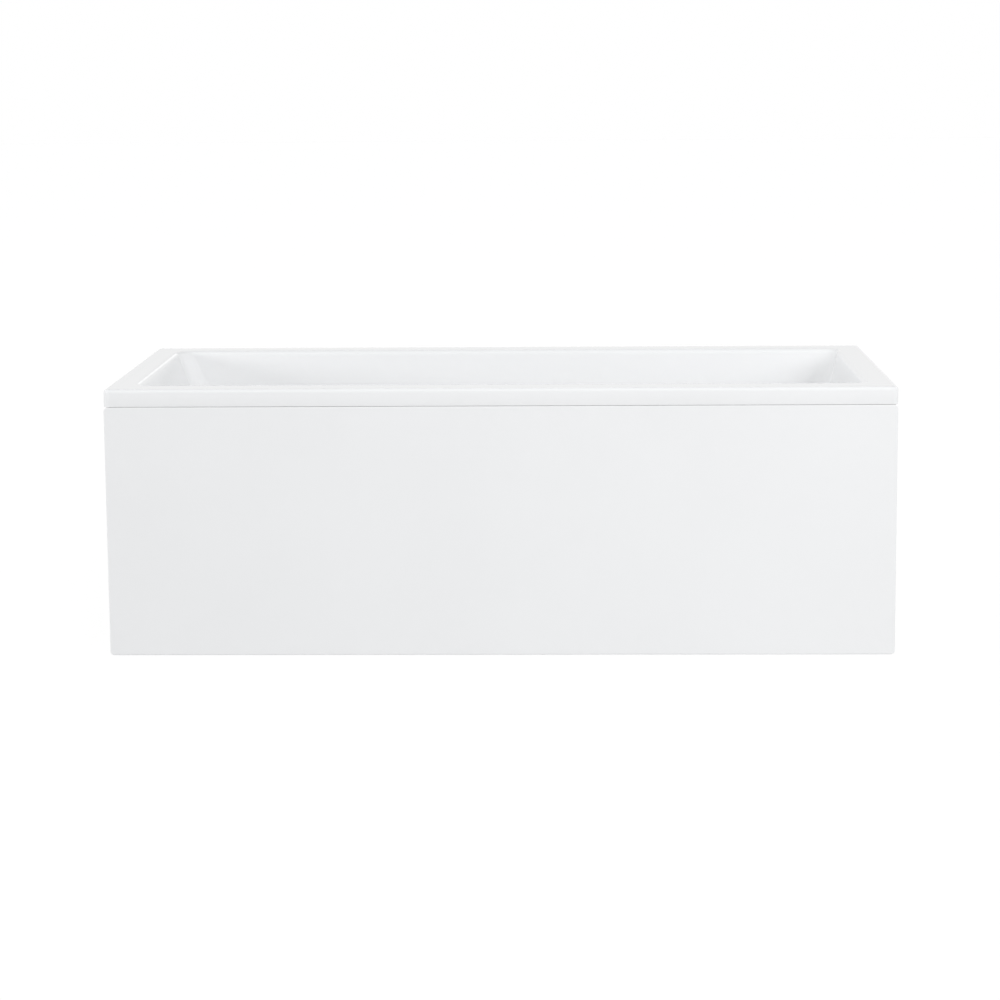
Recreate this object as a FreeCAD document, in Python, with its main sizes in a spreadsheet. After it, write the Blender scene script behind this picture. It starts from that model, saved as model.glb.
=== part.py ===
import FreeCAD, Part
import math
import os
import re

import Sketcher
from FreeCAD import Placement, Rotation, Vector

# Alcove bath with a front apron panel, millimetres.
# Origin: middle of the footprint, on the floor.
# +X runs to the foot end (waste and overflow), -Y is the panel side, +Y the wall side, +Z up.

# ---------------------------------------------------------------- driving dimensions

DIMENSIONS = {
    # whole bath
    "bath_length": 1700,
    "bath_width": 750,
    "bath_height": 585,
    # moulded shell
    "acrylic": 5,
    "skirt_height": 38,
    "rim_edge_radius": 8,
    "rim_corner_radius": 14,
    "skirt_edge_radius": 1,
    "end_deck": 62,
    "front_deck": 70,
    "back_deck": 68,
    "lip_radius": 12,
    "floor_top": 185,
    "head_slope": 22,
    "foot_slope": 12,
    "side_slope": 7,
    "mouth_corner": 34,
    "floor_corner": 90,
    "floor_edge_radius": 70,
    # reinforcement, board and battens
    "bond_line": 0.2,
    "laminate": 3,
    "board_thickness": 18,
    "board_head_inset": 240,
    "board_waste_gap": 90,
    "board_side_inset": 190,
    "batten_width": 38,
    "batten_thickness": 18,
    "batten_setback": 4,
    "batten_end_gap": 30,
    # leg rails, centre bracket and legs
    "rail_gauge": 2,
    "bend_radius": 3,
    "rail_width": 40,
    "rail_depth": 25,
    "rail_overhang": 30,
    "head_rail_inset": 160,
    "foot_rail_inset": 80,
    "leg_setback": 85,
    "bracket_drop": 42,
    "bracket_width": 50,
    "bracket_web": 44,
    "bracket_flange": 26,
    "bracket_screw_edge": 11,
    "stud_radius": 6,
    "stud_hole_play": 0.5,
    "thread_play": 0.05,
    "nut_flats": 19,
    "nut_height": 10,
    "leg_travel": 20,
    "stud_spare": 3,
    "pad_radius": 26,
    "pad_base": 6,
    "pad_chamfer": 3,
    "pad_hub_radius": 11,
    "pad_height": 16,
    "pad_socket": 10,
    # wood screws
    "screw_radius": 2,
    "screw_play": 0.05,
    "screw_hole_play": 0.3,
    "screw_head_radius": 4,
    "screw_head_height": 2.5,
    "screw_bite": 13,
    "pilot_spare": 1,
    "screw_spread": 11,
    "rail_screw_inset": 35,
    # wall brackets
    "sheet_gauge": 2,
    "wall_bracket_inset": 350,
    "wall_bracket_width": 44,
    "wall_bracket_drop": 67,
    "wall_bracket_step": 4,
    "wall_bracket_gap": 2,
    "wall_hole_radius": 2.75,
    "wall_hole_spacing": 30,
    "wall_hole_edge": 16,
    # front panel and its push-fit fixings
    "panel_gap": 1,
    "panel_floor_gap": 3,
    "panel_end_inset": 1,
    "panel_thickness": 4,
    "panel_return": 20,
    "panel_corner_radius": 9,
    "panel_edge_radius": 3,
    "panel_inner_radius": 1,
    "fixing_inset": 330,
    "fixing_top_drop": 38,
    "fixing_low_drop": 28,
    "fixing_standoff": 3,
    "fixing_width": 40,
    "fixing_tail": 20,
    "fixing_lap": 17,
    "clip_flange_radius": 11,
    "clip_flange": 3,
    "clip_barrel_radius": 7,
    "clip_barrel": 8,
    "clip_seat_play": 0.2,
    "pin_radius": 4,
    "pin_play": 0.1,
    "pin_base_radius": 13,
    "pin_base": 3,
    "pin_tail": 3,
    # waste
    "waste_inset": 290,
    "waste_hole_radius": 27,
    "flange_radius": 35,
    "flange_rim": 2.5,
    "flange_edge": 1,
    "seal_thickness": 2,
    "seal_inset": 1,
    "dish_radius": 24,
    "dish_wall": 2,
    "dish_depth": 4,
    "tail_radius": 22,
    "tail_bore": 19,
    "tail_length": 27,
    "hub_radius": 6,
    "hub_height": 6,
    "spoke_width": 3,
    "spoke_root": 1,
    "gasket_thickness": 3,
    "cup_flange_radius": 36,
    "cup_flange": 5,
    "cup_radius": 32,
    "cup_wall": 3.5,
    "cup_depth": 46,
    "spigot_radius": 23.9,
    "spigot_length": 26,
    "spigot_bore": 19,
    "port_radius": 13,
    "port_bore": 10,
    "port_reach": 24,
    "port_drop": 30,
    # plug and lift lever
    "plug_radius": 31,
    "plug_cap": 3,
    "plug_lip": 1,
    "plug_bevel": 6,
    "plug_crown": 0.6,
    "plug_hub_radius": 15,
    "plug_hub": 7.5,
    "plug_seal_thickness": 2,
    "plug_seal_play": 0.05,
    "plug_shoulder_gap": 1.5,
    "plug_clear": 0.5,
    "stem_radius": 3,
    "stem_play": 0.1,
    "plug_travel": 10,
    "lever_arm": 18,
    "lever_drop": 37,
    "lever_tip_radius": 3,
    "lever_hub_radius": 4.5,
    "lever_width": 6,
    "lever_thickness": 3.6,
    "lever_gap": 0.1,
    "lever_side_play": 0.3,
    "axle_radius": 2,
    "axle_play": 0.05,
    "lug_inside": 9,
    "lug_thickness": 4,
    "lug_radius": 6,
    "lug_root": 1,
    # overflow, its knob, hose and cable
    "overflow_drop": 88,
    "plate_radius": 36,
    "plate_depth": 10,
    "plate_wall": 2,
    "plate_slot_lap": 4,
    "plate_slot_margin": 1,
    "overflow_hole_play": 2,
    "neck_length": 8,
    "overflow_body_flange_radius": 35,
    "overflow_body_flange": 4,
    "overflow_cup_radius": 30,
    "overflow_cup_depth": 22,
    "overflow_port_reach": 28,
    "knob_radius": 24,
    "knob_height": 12,
    "knob_chamfer": 3,
    "knob_gap": 0.4,
    "grip_width": 9,
    "grip_height": 9,
    "grip_root": 1,
    "spindle_radius": 4,
    "spindle_play": 0.1,
    "drum_radius": 10,
    "drum_height": 6,
    "hose_bore_radius": 13.2,
    "hose_cuff_wall": 1.8,
    "hose_root_wall": 1.2,
    "hose_crest_wall": 3.2,
    "hose_cuff": 32,
    "hose_seat_gap": 3,
    "hose_bend_radius": 105,
    "rib_pitch": 5,
    "hose_clip_band": 1.2,
    "hose_clip_width": 9,
    "hose_clip_play": 0.1,
    "hose_clip_inset": 10,
    "hose_clip_box": 7,
    "cable_radius": 2.5,
    "cable_offset": 25,
    "gland_radius": 4,
    "gland_start": 5,
    "gland_end": 40,
    # trap
    "trap_radius": 21,
    "trap_bore": 18.5,
    "trap_bend_radius": 27,
    "trap_dip": 41,
    "trap_rise": 22,
    "trap_collar": 4,
    "trap_collar_radius": 23.5,
    "trap_washer": 2.5,
    "trap_nut_radius": 30,
    "trap_nut_height": 28,
    "trap_nut_lip": 3.5,
    "trap_nut_play": 0.1,
    "trap_lip_play": 0.5,
    "trap_outlet_run": 12,
    "pipe_radius": 20,
    "pipe_play": 0.15,
    "socket_radius": 25,
    "socket_length": 25,
    "socket_shoulder": 6,
    "outlet_seal_thickness": 3,
    "outlet_nut_wall": 4.5,
    "outlet_nut_length": 18,
    "outlet_nut_lip": 2.5,
    # how far a cutter runs past the faces it cuts through
    "overshoot": 1,
}

# Places and sizes that follow from the driving dimensions.
DERIVED = {
    "deck_under": "bath_height - acrylic",
    "skirt_foot": "bath_height - skirt_height",
    "basin_depth": "bath_height - floor_top",
    "laminate_skin": "acrylic + bond_line",
    "laminate_outside": "laminate_skin + laminate",
    "laminate_top": "deck_under - lip_radius",
    "laminate_foot": "floor_top - laminate_outside",
    "board_under": "laminate_foot - board_thickness",
    "board_head_end": "board_head_inset - bath_length / 2",
    "board_foot_end": "waste_x - board_waste_gap",
    "board_reach": "bath_width / 2 - board_side_inset",
    "leg_reach": "bath_width / 2 - leg_setback",
    "rail_reach": "leg_reach + rail_overhang",
    "rail_screw_reach": "board_reach - rail_screw_inset",
    "head_rail_place": "board_head_end + head_rail_inset",
    "foot_rail_place": "board_foot_end - foot_rail_inset",
    "centre_leg_place": "(head_rail_place + foot_rail_place) / 2",
    "rail_web_under": "board_under - rail_gauge",
    "centre_line": "(front_deck - back_deck) / 2",
    "batten_under": "deck_under - batten_thickness",
    "batten_edge": "acrylic + batten_setback",
    "batten_inside": "batten_edge + batten_width",
    "bracket_web_top": "board_under - bracket_drop + sheet_gauge",
    "bracket_reach": "bracket_web / 2 + bracket_flange",
    "bracket_screw_reach": "bracket_reach - bracket_screw_edge",
    "stud_top_over_web": "nut_height + leg_travel + stud_spare",
    "pad_socket_floor": "pad_height - pad_socket",
    "wall_bracket_place": "bath_length / 2 - wall_bracket_inset",
    "wall_bracket_foot": "skirt_foot - wall_bracket_drop",
    "panel_top": "skirt_foot - panel_gap",
    "panel_back": "-bath_width / 2 + panel_return",
    "panel_inside": "-bath_width / 2 + panel_thickness",
    "fixing_place": "bath_length / 2 - fixing_inset",
    "fixing_face": "panel_back + fixing_standoff",
    "fixing_top_height": "batten_under - fixing_top_drop",
    "fixing_low_height": "board_under - fixing_low_drop",
    "waste_x": "bath_length / 2 - waste_inset",
    "flange_under": "floor_top + seal_thickness",
    "flange_top": "flange_under + flange_rim",
    "dish_floor": "flange_top - dish_depth",
    "cup_top": "laminate_foot - gasket_thickness",
    "cup_floor": "cup_top - cup_depth",
    "port_height": "cup_top - port_drop",
    "spigot_foot": "cup_floor - spigot_length",
    "tail_foot": "flange_under - tail_length",
    "neck_bore": "tail_radius + thread_play",
    "plug_under": "flange_top + plug_clear",
    "lever_swing": "2 * asin(plug_travel / 2 / lever_arm)",
    "lever_pivot": "cup_top - lever_drop",
    "stem_foot": "lever_pivot - plug_travel / 2 + lever_tip_radius + lever_gap",
    "stem_bore": "stem_radius + stem_play",
    "hub_top": "tail_foot + hub_height",
    "seal_top": "dish_floor + plug_seal_thickness",
    "overflow_x": "bath_length / 2 - end_deck - overflow_drop * tan(foot_slope)",
    "overflow_z": "bath_height - overflow_drop",
    "overflow_seat": "laminate_outside + gasket_thickness",
    "overflow_cup_start": "overflow_seat + neck_length",
    "overflow_axis": "overflow_cup_start + overflow_cup_depth / 2",
    "overflow_end": "overflow_cup_start + overflow_cup_depth + cup_wall",
    "trap_top": "spigot_foot - trap_washer",
    "trap_nut_foot": "trap_top - trap_collar - trap_nut_lip",
    "trap_low_centre": "trap_top - trap_dip",
    "outlet_height": "trap_low_centre + trap_rise + trap_bend_radius",
    "socket_start": "centre_line + 3 * trap_bend_radius + trap_outlet_run",
    "socket_end": "socket_start + socket_shoulder + socket_length",
    "pipe_bore": "pipe_radius + pipe_play",
}

doc = FreeCAD.newDocument("alcove_bath")
sheet = doc.addObject("Spreadsheet::Sheet", "sheet")
for row, (alias, number) in enumerate(DIMENSIONS.items(), start=1):
    sheet.set(f"A{row}", alias)
    sheet.set(f"B{row}", str(number))
    sheet.setAlias(f"B{row}", alias)
doc.recompute()


def formula(text):
    """The expression of a size: names of driving and derived sizes become references to the sheet."""

    def reference(match):
        word = match.group(0)
        if word in DERIVED:
            return "(" + formula(DERIVED[word]) + ")"
        return "sheet." + word if word in DIMENSIONS else word

    return re.sub(r"\b[a-z][a-z_]+\b", reference, str(text))


def size(text):
    """The present value of a size, as a plain number."""
    value = sheet.evalExpression(formula(text))
    return float(getattr(value, "Value", value))


def bind(obj, **properties):
    """Ties properties of an object to sizes. A double underscore stands for a dot."""
    for name, text in properties.items():
        obj.setExpression(name.replace("__", "."), formula(text))


# ---------------------------------------------------------------- helpers: solids and booleans


def place(obj, x=0, y=0, z=0, rotation=None):
    """Stands an object at a point, with a fixed rotation if one is given."""
    if rotation is not None:
        obj.Placement = Placement(Vector(), rotation)
    for axis, text in (("x", x), ("y", y), ("z", z)):
        obj.setExpression("Placement.Base." + axis, formula(text))
    return obj


def box(name, x, y, z):
    """A box between two sizes on each axis, given as pairs."""
    obj = doc.addObject("Part::Box", name)
    bind(obj, Length=f"({x[1]}) - ({x[0]})", Width=f"({y[1]}) - ({y[0]})", Height=f"({z[1]}) - ({z[0]})")
    return place(obj, x[0], y[0], z[0])


ALONG = {
    "X": Rotation(Vector(0, 1, 0), 90),
    "Y": Rotation(Vector(1, 0, 0), -90),
    "Z": Rotation(),
}


def rod(name, radius, x, y, z):
    """A cylinder. The axis that is given as a pair of ends is the one it runs along."""
    obj = doc.addObject("Part::Cylinder", name)
    ends = {"X": x, "Y": y, "Z": z}
    axis = next(key for key, value in ends.items() if isinstance(value, tuple))
    low, high = ends[axis]
    bind(obj, Radius=radius, Height=f"({high}) - ({low})")
    start = [low if key == axis else value for key, value in ends.items()]
    return place(obj, *start, rotation=ALONG[axis])


def past(low, high):
    """Two ends a little beyond the faces that a cutter goes through."""
    return (f"({low}) - overshoot", f"({high}) + overshoot")


def polygon_rod(name, sides, radius, x, y, z):
    """A prism with regular sides along Y or Z, its corners on the radius."""
    obj = doc.addObject("Part::Prism", name)
    obj.Polygon = sides
    along_y = isinstance(y, tuple)
    low, high = y if along_y else z
    bind(obj, Circumradius=radius, Height=f"({high}) - ({low})")
    start = (x, low, z) if along_y else (x, y, low)
    return place(obj, *start, rotation=ALONG["Y" if along_y else "Z"])


def fuse(name, shapes):
    """One or more solids from several shapes."""
    obj = doc.addObject("Part::MultiFuse", name)
    obj.Shapes = shapes
    return obj


def cut(name, base, tools):
    """A shape less the others."""
    obj = doc.addObject("Part::Cut", name)
    obj.Base = base
    obj.Tool = tools[0] if len(tools) == 1 else fuse(name + "_cutters", tools)
    return obj


# ---------------------------------------------------------------- helpers: sketches and bodies


def new_body(name):
    return doc.addObject("PartDesign::Body", name)


def sketch_on(body, name, role, offset="0"):
    """A sketch on one of the body's own origin planes, at an offset along the plane's normal."""
    plane = next(feature for feature in body.Origin.OriginFeatures if feature.Role == role)
    sketch = body.newObject("Sketcher::SketchObject", name)
    sketch.AttachmentSupport = [(plane, "")]
    sketch.MapMode = "FlatFace"
    bind(sketch, AttachmentOffset__Base__z=offset)
    return sketch


def pin_point(sketch, element, end, x, y):
    """Ties one end of a sketch element to a place."""
    for kind, text in (("DistanceX", x), ("DistanceY", y)):
        index = sketch.addConstraint(Sketcher.Constraint(kind, -1, 1, element, end, size(text)))
        bind(sketch, **{f"Constraints[{index}]": text})


def outline(sketch, points):
    """A closed outline of straight lines through the given points."""
    corners = [Vector(size(x), size(y), 0) for x, y in points]
    following = corners[1:] + corners[:1]
    sketch.addGeometry([Part.LineSegment(a, b) for a, b in zip(corners, following)], False)
    for number, (x, y) in enumerate(points):
        sketch.addConstraint(
            Sketcher.Constraint("Coincident", number, 2, (number + 1) % len(points), 1)
        )
        pin_point(sketch, number, 1, x, y)


def rounded_rectangle(sketch, x, y, radius):
    """A rectangle between two sizes on each axis, with equal rounded corners."""
    (x0, x1), (y0, y1), r = map(size, x), map(size, y), size(radius)
    sides = [
        (Vector(x0 + r, y0), Vector(x1 - r, y0)),
        (Vector(x1, y0 + r), Vector(x1, y1 - r)),
        (Vector(x1 - r, y1), Vector(x0 + r, y1)),
        (Vector(x0, y1 - r), Vector(x0, y0 + r)),
    ]
    centres = [
        Vector(x1 - r, y0 + r),
        Vector(x1 - r, y1 - r),
        Vector(x0 + r, y1 - r),
        Vector(x0 + r, y0 + r),
    ]
    sketch.addGeometry([Part.LineSegment(a, b) for a, b in sides], False)
    for number, centre in enumerate(centres):
        start = math.radians(90 * number - 90)
        circle = Part.Circle(centre, Vector(0, 0, 1), r)
        sketch.addGeometry(Part.ArcOfCircle(circle, start, start + math.pi / 2), False)
    rules = []
    for number in range(4):
        rules.append(Sketcher.Constraint("Tangent", number, 2, 4 + number, 1))
        rules.append(Sketcher.Constraint("Tangent", 4 + number, 2, (number + 1) % 4, 1))
        rules.append(Sketcher.Constraint("Vertical" if number % 2 else "Horizontal", number))
    rules += [Sketcher.Constraint("Equal", 4, number) for number in (5, 6, 7)]
    sketch.addConstraint(rules)
    limits = ((3, x[0]), (1, x[1]), (0, y[0]), (2, y[1]))
    for side, text in limits:
        kind = "DistanceX" if side % 2 else "DistanceY"
        index = sketch.addConstraint(Sketcher.Constraint(kind, -1, 1, side, 1, size(text)))
        bind(sketch, **{f"Constraints[{index}]": text})
    index = sketch.addConstraint(Sketcher.Constraint("Radius", 4, r))
    bind(sketch, **{f"Constraints[{index}]": radius})


def pad(body, name, sketch, length):
    """Adds the sketch's outline, drawn out along its normal."""
    feature = body.newObject("PartDesign::Pad", name)
    feature.Profile = sketch
    bind(feature, Length=length)
    return feature


def pocket(body, name, sketch, length, along_normal=False):
    """Takes the sketch's outline away, against its normal unless told otherwise."""
    feature = body.newObject("PartDesign::Pocket", name)
    feature.Profile = sketch
    feature.Reversed = along_normal
    bind(feature, Length=length)
    return feature


def loft(body, name, sections):
    """Adds the ruled body between two outlines."""
    feature = body.newObject("PartDesign::AdditiveLoft", name)
    feature.Profile = sections[0]
    feature.Sections = sections[1:]
    feature.Ruled = True
    return feature


def fillet(body, name, chosen, radius):
    """Rounds those edges of the body's tip for which chosen(bounding box) is true."""
    doc.recompute()
    tip = body.Tip
    names = [f"Edge{n}" for n, edge in enumerate(tip.Shape.Edges, start=1) if chosen(edge.BoundBox)]
    feature = body.newObject("PartDesign::Fillet", name)
    feature.Base = (tip, names)
    bind(feature, Radius=radius)
    return feature


def turned(name, points):
    """A body of revolution about Z from (radius, height) points."""
    body = new_body(name)
    sketch = sketch_on(body, name + "_profile", "XZ_Plane")
    outline(sketch, points)
    feature = body.newObject("PartDesign::Revolution", name + "_turn")
    feature.Profile = sketch
    feature.ReferenceAxis = (sketch, ["V_Axis"])
    feature.Angle = 360
    return body


def bent_strip(name, points, x):
    """A strip bent to an outline of (y, z) points, and as wide as the pair of X sizes."""
    body = new_body(name)
    sketch = sketch_on(body, name + "_profile", "YZ_Plane", x[0])
    outline(sketch, points)
    pad(body, name + "_strip", sketch, f"({x[1]}) - ({x[0]})")
    return body


def near(first, second, tolerance=1e-4):
    return abs(first - second) < tolerance


# ---------------------------------------------------------------- sub-parts: the list that is written out

SUB_PARTS = []


def sub_part(obj, label):
    """Names a finished sub-part."""
    obj.Label = label
    SUB_PARTS.append(obj)
    return obj


# ---------------------------------------------------------------- basin surfaces


def basin(body, name, offset, top):
    """The basin's inside, grown by an offset: walls that slope in from the mouth to a flat floor.

    A wall that slopes by an angle from upright moves out by offset / cos(angle).
    """
    sections = []
    for part, height in (("mouth", top), ("floor", f"floor_top - ({offset})")):
        drop = f"(bath_height - ({height}))"
        sketch = sketch_on(body, f"{name}_{part}", "XY_Plane", height)
        rounded_rectangle(
            sketch,
            (
                f"-bath_length/2 + end_deck + {drop}*tan(head_slope) - ({offset})/cos(head_slope)",
                f"bath_length/2 - end_deck - {drop}*tan(foot_slope) + ({offset})/cos(foot_slope)",
            ),
            (
                f"-bath_width/2 + front_deck + {drop}*tan(side_slope) - ({offset})/cos(side_slope)",
                f"bath_width/2 - back_deck - {drop}*tan(side_slope) + ({offset})/cos(side_slope)",
            ),
            f"mouth_corner + (floor_corner - mouth_corner) * {drop} / basin_depth + {offset}",
        )
        sections.append(sketch)
    loft(body, name + "_walls", sections)
    floor = size(f"floor_top - ({offset})")
    fillet(body, name + "_floor_edge", lambda box: near(box.ZMax, floor), f"floor_edge_radius + {offset}")


def basin_body(name, offset, top):
    body = new_body(name)
    basin(body, name, offset, top)
    return body


def cut_body(body, name, tool):
    """Takes another body away from this one."""
    feature = body.newObject("PartDesign::Boolean", name)
    feature.Type = 1
    feature.setObjects([tool])
    return feature


# ---------------------------------------------------------------- shell


def make_shell():
    """Deck, skirt and basin in one moulding of even wall, with holes for the waste and the overflow."""
    body = new_body("shell_moulding")
    half_length, half_width = size("bath_length / 2"), size("bath_width / 2")
    top, under, foot = size("bath_height"), size("deck_under"), size("skirt_foot")

    rim = sketch_on(body, "rim_outline", "XY_Plane", "skirt_foot")
    rounded_rectangle(
        rim, ("-bath_length/2", "bath_length/2"), ("-bath_width/2", "bath_width/2"), "rim_corner_radius"
    )
    pad(body, "rim", rim, "skirt_height")
    fillet(body, "rim_edge", lambda box: near(box.ZMin, top), "rim_edge_radius")
    fillet(body, "skirt_edge", lambda box: near(box.ZMax, foot), "skirt_edge_radius")

    hollow = sketch_on(body, "rim_hollow", "XY_Plane", "skirt_foot")
    rounded_rectangle(
        hollow,
        ("-bath_length/2 + acrylic", "bath_length/2 - acrylic"),
        ("-bath_width/2 + acrylic", "bath_width/2 - acrylic"),
        "rim_corner_radius - acrylic",
    )
    pocket(body, "rim_underside", hollow, "skirt_height - acrylic", along_normal=True)

    basin(body, "outside", "acrylic", "bath_height - acrylic/2")
    margin = size("acrylic + lip_radius")
    inside_skirt, inside_end = half_width - margin, half_length - margin

    def under_the_lip(box):
        level = near(box.ZMin, under) and near(box.ZMax, under)
        return level and max(abs(box.YMin), abs(box.YMax)) < inside_skirt and box.XMax < inside_end

    fillet(body, "lip_underside", under_the_lip, "lip_radius - acrylic")
    cut_body(body, "basin_hollow", basin_body("inside", "0", "bath_height"))

    def at_the_lip(box):
        level = near(box.ZMin, top) and near(box.ZMax, top)
        return level and max(abs(box.YMin), abs(box.YMax)) < inside_skirt

    fillet(body, "lip", at_the_lip, "lip_radius")
    return sub_part(cut("shell_cut", body, fitting_holes("shell")), "bath_shell")


def fitting_holes(name):
    """The waste hole in the floor and the overflow hole in the foot wall, as cutters."""
    waste = rod(
        name + "_waste_hole",
        "waste_hole_radius",
        "waste_x",
        "centre_line",
        past("floor_top - laminate_outside", "floor_top"),
    )
    overflow = doc.addObject("Part::Cylinder", name + "_overflow_hole")
    bind(overflow, Radius="tail_radius + overflow_hole_play", Height="laminate_outside + 2 * overshoot")
    tilt(overflow, "-overshoot")
    return [waste, overflow]


def tilt(obj, along="0"):
    """Stands an object that was made about Z on the foot wall, at the middle of the overflow.

    Its Z then points out of the basin, square to the wall, and its X runs down the wall.
    The distance along Z is measured from the basin's inner face.
    """
    obj.Placement = Placement(Vector(), Rotation(Vector(0, 1, 0), 1))
    bind(obj, Placement__Rotation__Angle="90 + foot_slope")
    x = f"overflow_x + ({along}) * cos(foot_slope)"
    z = f"overflow_z - ({along}) * sin(foot_slope)"
    return place(obj, x, "centre_line", z)


# ---------------------------------------------------------------- reinforcement, board and battens


def make_reinforcement():
    """The glass-fibre skin on the outside of the basin."""
    outside = basin_body("laminate_outer", "laminate_outside", "laminate_top")
    inside = basin_body("laminate_inner", "laminate_skin", "laminate_top + overshoot")
    cut_body(outside, "laminate_hollow", inside)
    return sub_part(cut("laminate_cut", outside, fitting_holes("laminate")), "shell_reinforcement")


def ring(name, outer, inner, x, y, z):
    """A tube or washer. The axis that is given as a pair of ends is the one it runs along."""
    return cut(name, rod(name + "_outer", outer, x, y, z), [rod(name + "_bore", inner, x, y, z)])


def screw(name, x, y, seat, strip, upward=True):
    """A screw whose head bears on a strip at the seat and whose point bites beyond the strip."""
    length = f"({strip}) + screw_bite"
    head = (f"{seat} - screw_head_height", seat) if upward else (seat, f"{seat} + screw_head_height")
    shank = (seat, f"{seat} + {length}") if upward else (f"{seat} - ({length})", seat)
    return [
        rod(name + "_head", "screw_head_radius", x, y, head),
        rod(name + "_shank", "screw_radius", x, y, shank),
    ]


def pilot(name, x, y, under):
    """A blind hole that takes a screw's thread, up from the underside of a wooden piece."""
    return rod(name, "screw_radius + screw_play", x, y, (under, f"{under} + screw_bite + pilot_spare"))


def four_corners(x, y, x_reach, y_reach):
    """The four places at a reach to each side of a middle."""
    return [(f"{x} {a} {x_reach}", f"{y} {b} {y_reach}") for a in "-+" for b in "-+"]


RAILS = {"head": "head_rail_place", "foot": "foot_rail_place"}


def board_screw_places():
    """Where screws go up into the base board, with the gauge of the strip that each one holds."""
    places = []
    for rail in RAILS.values():
        for x, y in four_corners(rail, "centre_line", "screw_spread", "rail_screw_reach"):
            places.append((x, y, "rail_gauge"))
    for x, y in four_corners("centre_leg_place", "centre_line", "screw_spread", "bracket_screw_reach"):
        places.append((x, y, "sheet_gauge"))
    return places


def make_base_board():
    board = box(
        "board",
        ("board_head_end", "board_foot_end"),
        ("centre_line - board_reach", "centre_line + board_reach"),
        ("board_under", "laminate_foot"),
    )
    holes, screws = [], []
    for number, (x, y, strip) in enumerate(board_screw_places()):
        holes.append(pilot(f"board_pilot_{number}", x, y, "board_under"))
        screws += screw(f"board_screw_{number}", x, y, f"board_under - {strip}", strip)
    sub_part(cut("board_cut", board, holes), "base_board")
    sub_part(fuse("board_screws", screws), "leg_screws")


def wall_bracket_screw_places():
    y = "bath_width/2 - batten_edge - batten_width/2"
    return [(f"{sign} wall_bracket_place {a} screw_spread", y) for sign in "-+" for a in "-+"]


def panel_bracket_screw_places():
    y = "fixing_face + fixing_lap"
    return [(f"{sign} fixing_place {a} screw_spread", y) for sign in "-+" for a in "-+"]


def make_battens():
    """Wooden strips under the deck, all the way round."""
    height = ("batten_under", "deck_under")
    run = "bath_length/2 - batten_inside - batten_end_gap"
    for name, side, places in (
        ("front", "-", panel_bracket_screw_places()),
        ("back", "", wall_bracket_screw_places()),
    ):
        edges = (f"{side}(bath_width/2 - batten_edge)", f"{side}(bath_width/2 - batten_inside)")
        strip = box(f"{name}_strip", (f"-({run})", run), edges if side else edges[::-1], height)
        holes = [pilot(f"{name}_pilot_{n}", x, y, "batten_under") for n, (x, y) in enumerate(places)]
        sub_part(cut(f"{name}_batten", strip, holes), f"rim_batten_{name}")
    for name, side in (("head", "-"), ("foot", "")):
        edges = (f"{side}(bath_length/2 - batten_edge)", f"{side}(bath_length/2 - batten_inside)")
        reach = "bath_width/2 - batten_edge"
        strip = box(f"{name}_strip", edges if side else edges[::-1], (f"-({reach})", reach), height)
        sub_part(strip, f"rim_batten_{name}")


# ---------------------------------------------------------------- rails and legs


def make_rail(name, place_x):
    """A steel channel across the underside of the base board, open downwards."""
    body = new_body(f"{name}_channel")
    profile = sketch_on(body, f"{name}_channel_profile", "XZ_Plane", "-(centre_line + rail_reach)")
    half = "rail_width/2"
    outline(
        profile,
        [
            (f"{place_x} - {half}", "board_under"),
            (f"{place_x} + {half}", "board_under"),
            (f"{place_x} + {half}", "board_under - rail_depth"),
            (f"{place_x} + {half} - rail_gauge", "board_under - rail_depth"),
            (f"{place_x} + {half} - rail_gauge", "rail_web_under"),
            (f"{place_x} - {half} + rail_gauge", "rail_web_under"),
            (f"{place_x} - {half} + rail_gauge", "board_under - rail_depth"),
            (f"{place_x} - {half}", "board_under - rail_depth"),
        ],
    )
    pad(body, f"{name}_channel_run", profile, "2 * rail_reach")
    top, left, right = size("board_under"), size(f"{place_x} - {half}"), size(f"{place_x} + {half}")

    def bend(box):
        on_a_side = any(near(box.XMin, side) and near(box.XMax, side) for side in (left, right))
        return on_a_side and near(box.ZMin, top) and near(box.ZMax, top)

    fillet(body, f"{name}_bends", bend, "bend_radius")
    through = past("rail_web_under", "board_under")
    holes = [
        rod(f"{name}_stud_hole_{n}", "stud_radius + stud_hole_play", place_x, y, through)
        for n, y in enumerate(("centre_line - leg_reach", "centre_line + leg_reach"))
    ]
    for n, (x, y) in enumerate(four_corners(place_x, "centre_line", "screw_spread", "rail_screw_reach")):
        holes.append(rod(f"{name}_screw_hole_{n}", "screw_radius + screw_hole_play", x, y, through))
    for n, x in enumerate((f"{place_x} - screw_spread", f"{place_x} + screw_spread")):
        y = low_bracket_screw_y()
        holes.append(rod(f"{name}_tapped_hole_{n}", "screw_radius + screw_play", x, y, through))
    return sub_part(cut(f"{name}_rail", body, holes), f"leg_rail_{name}")


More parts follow.
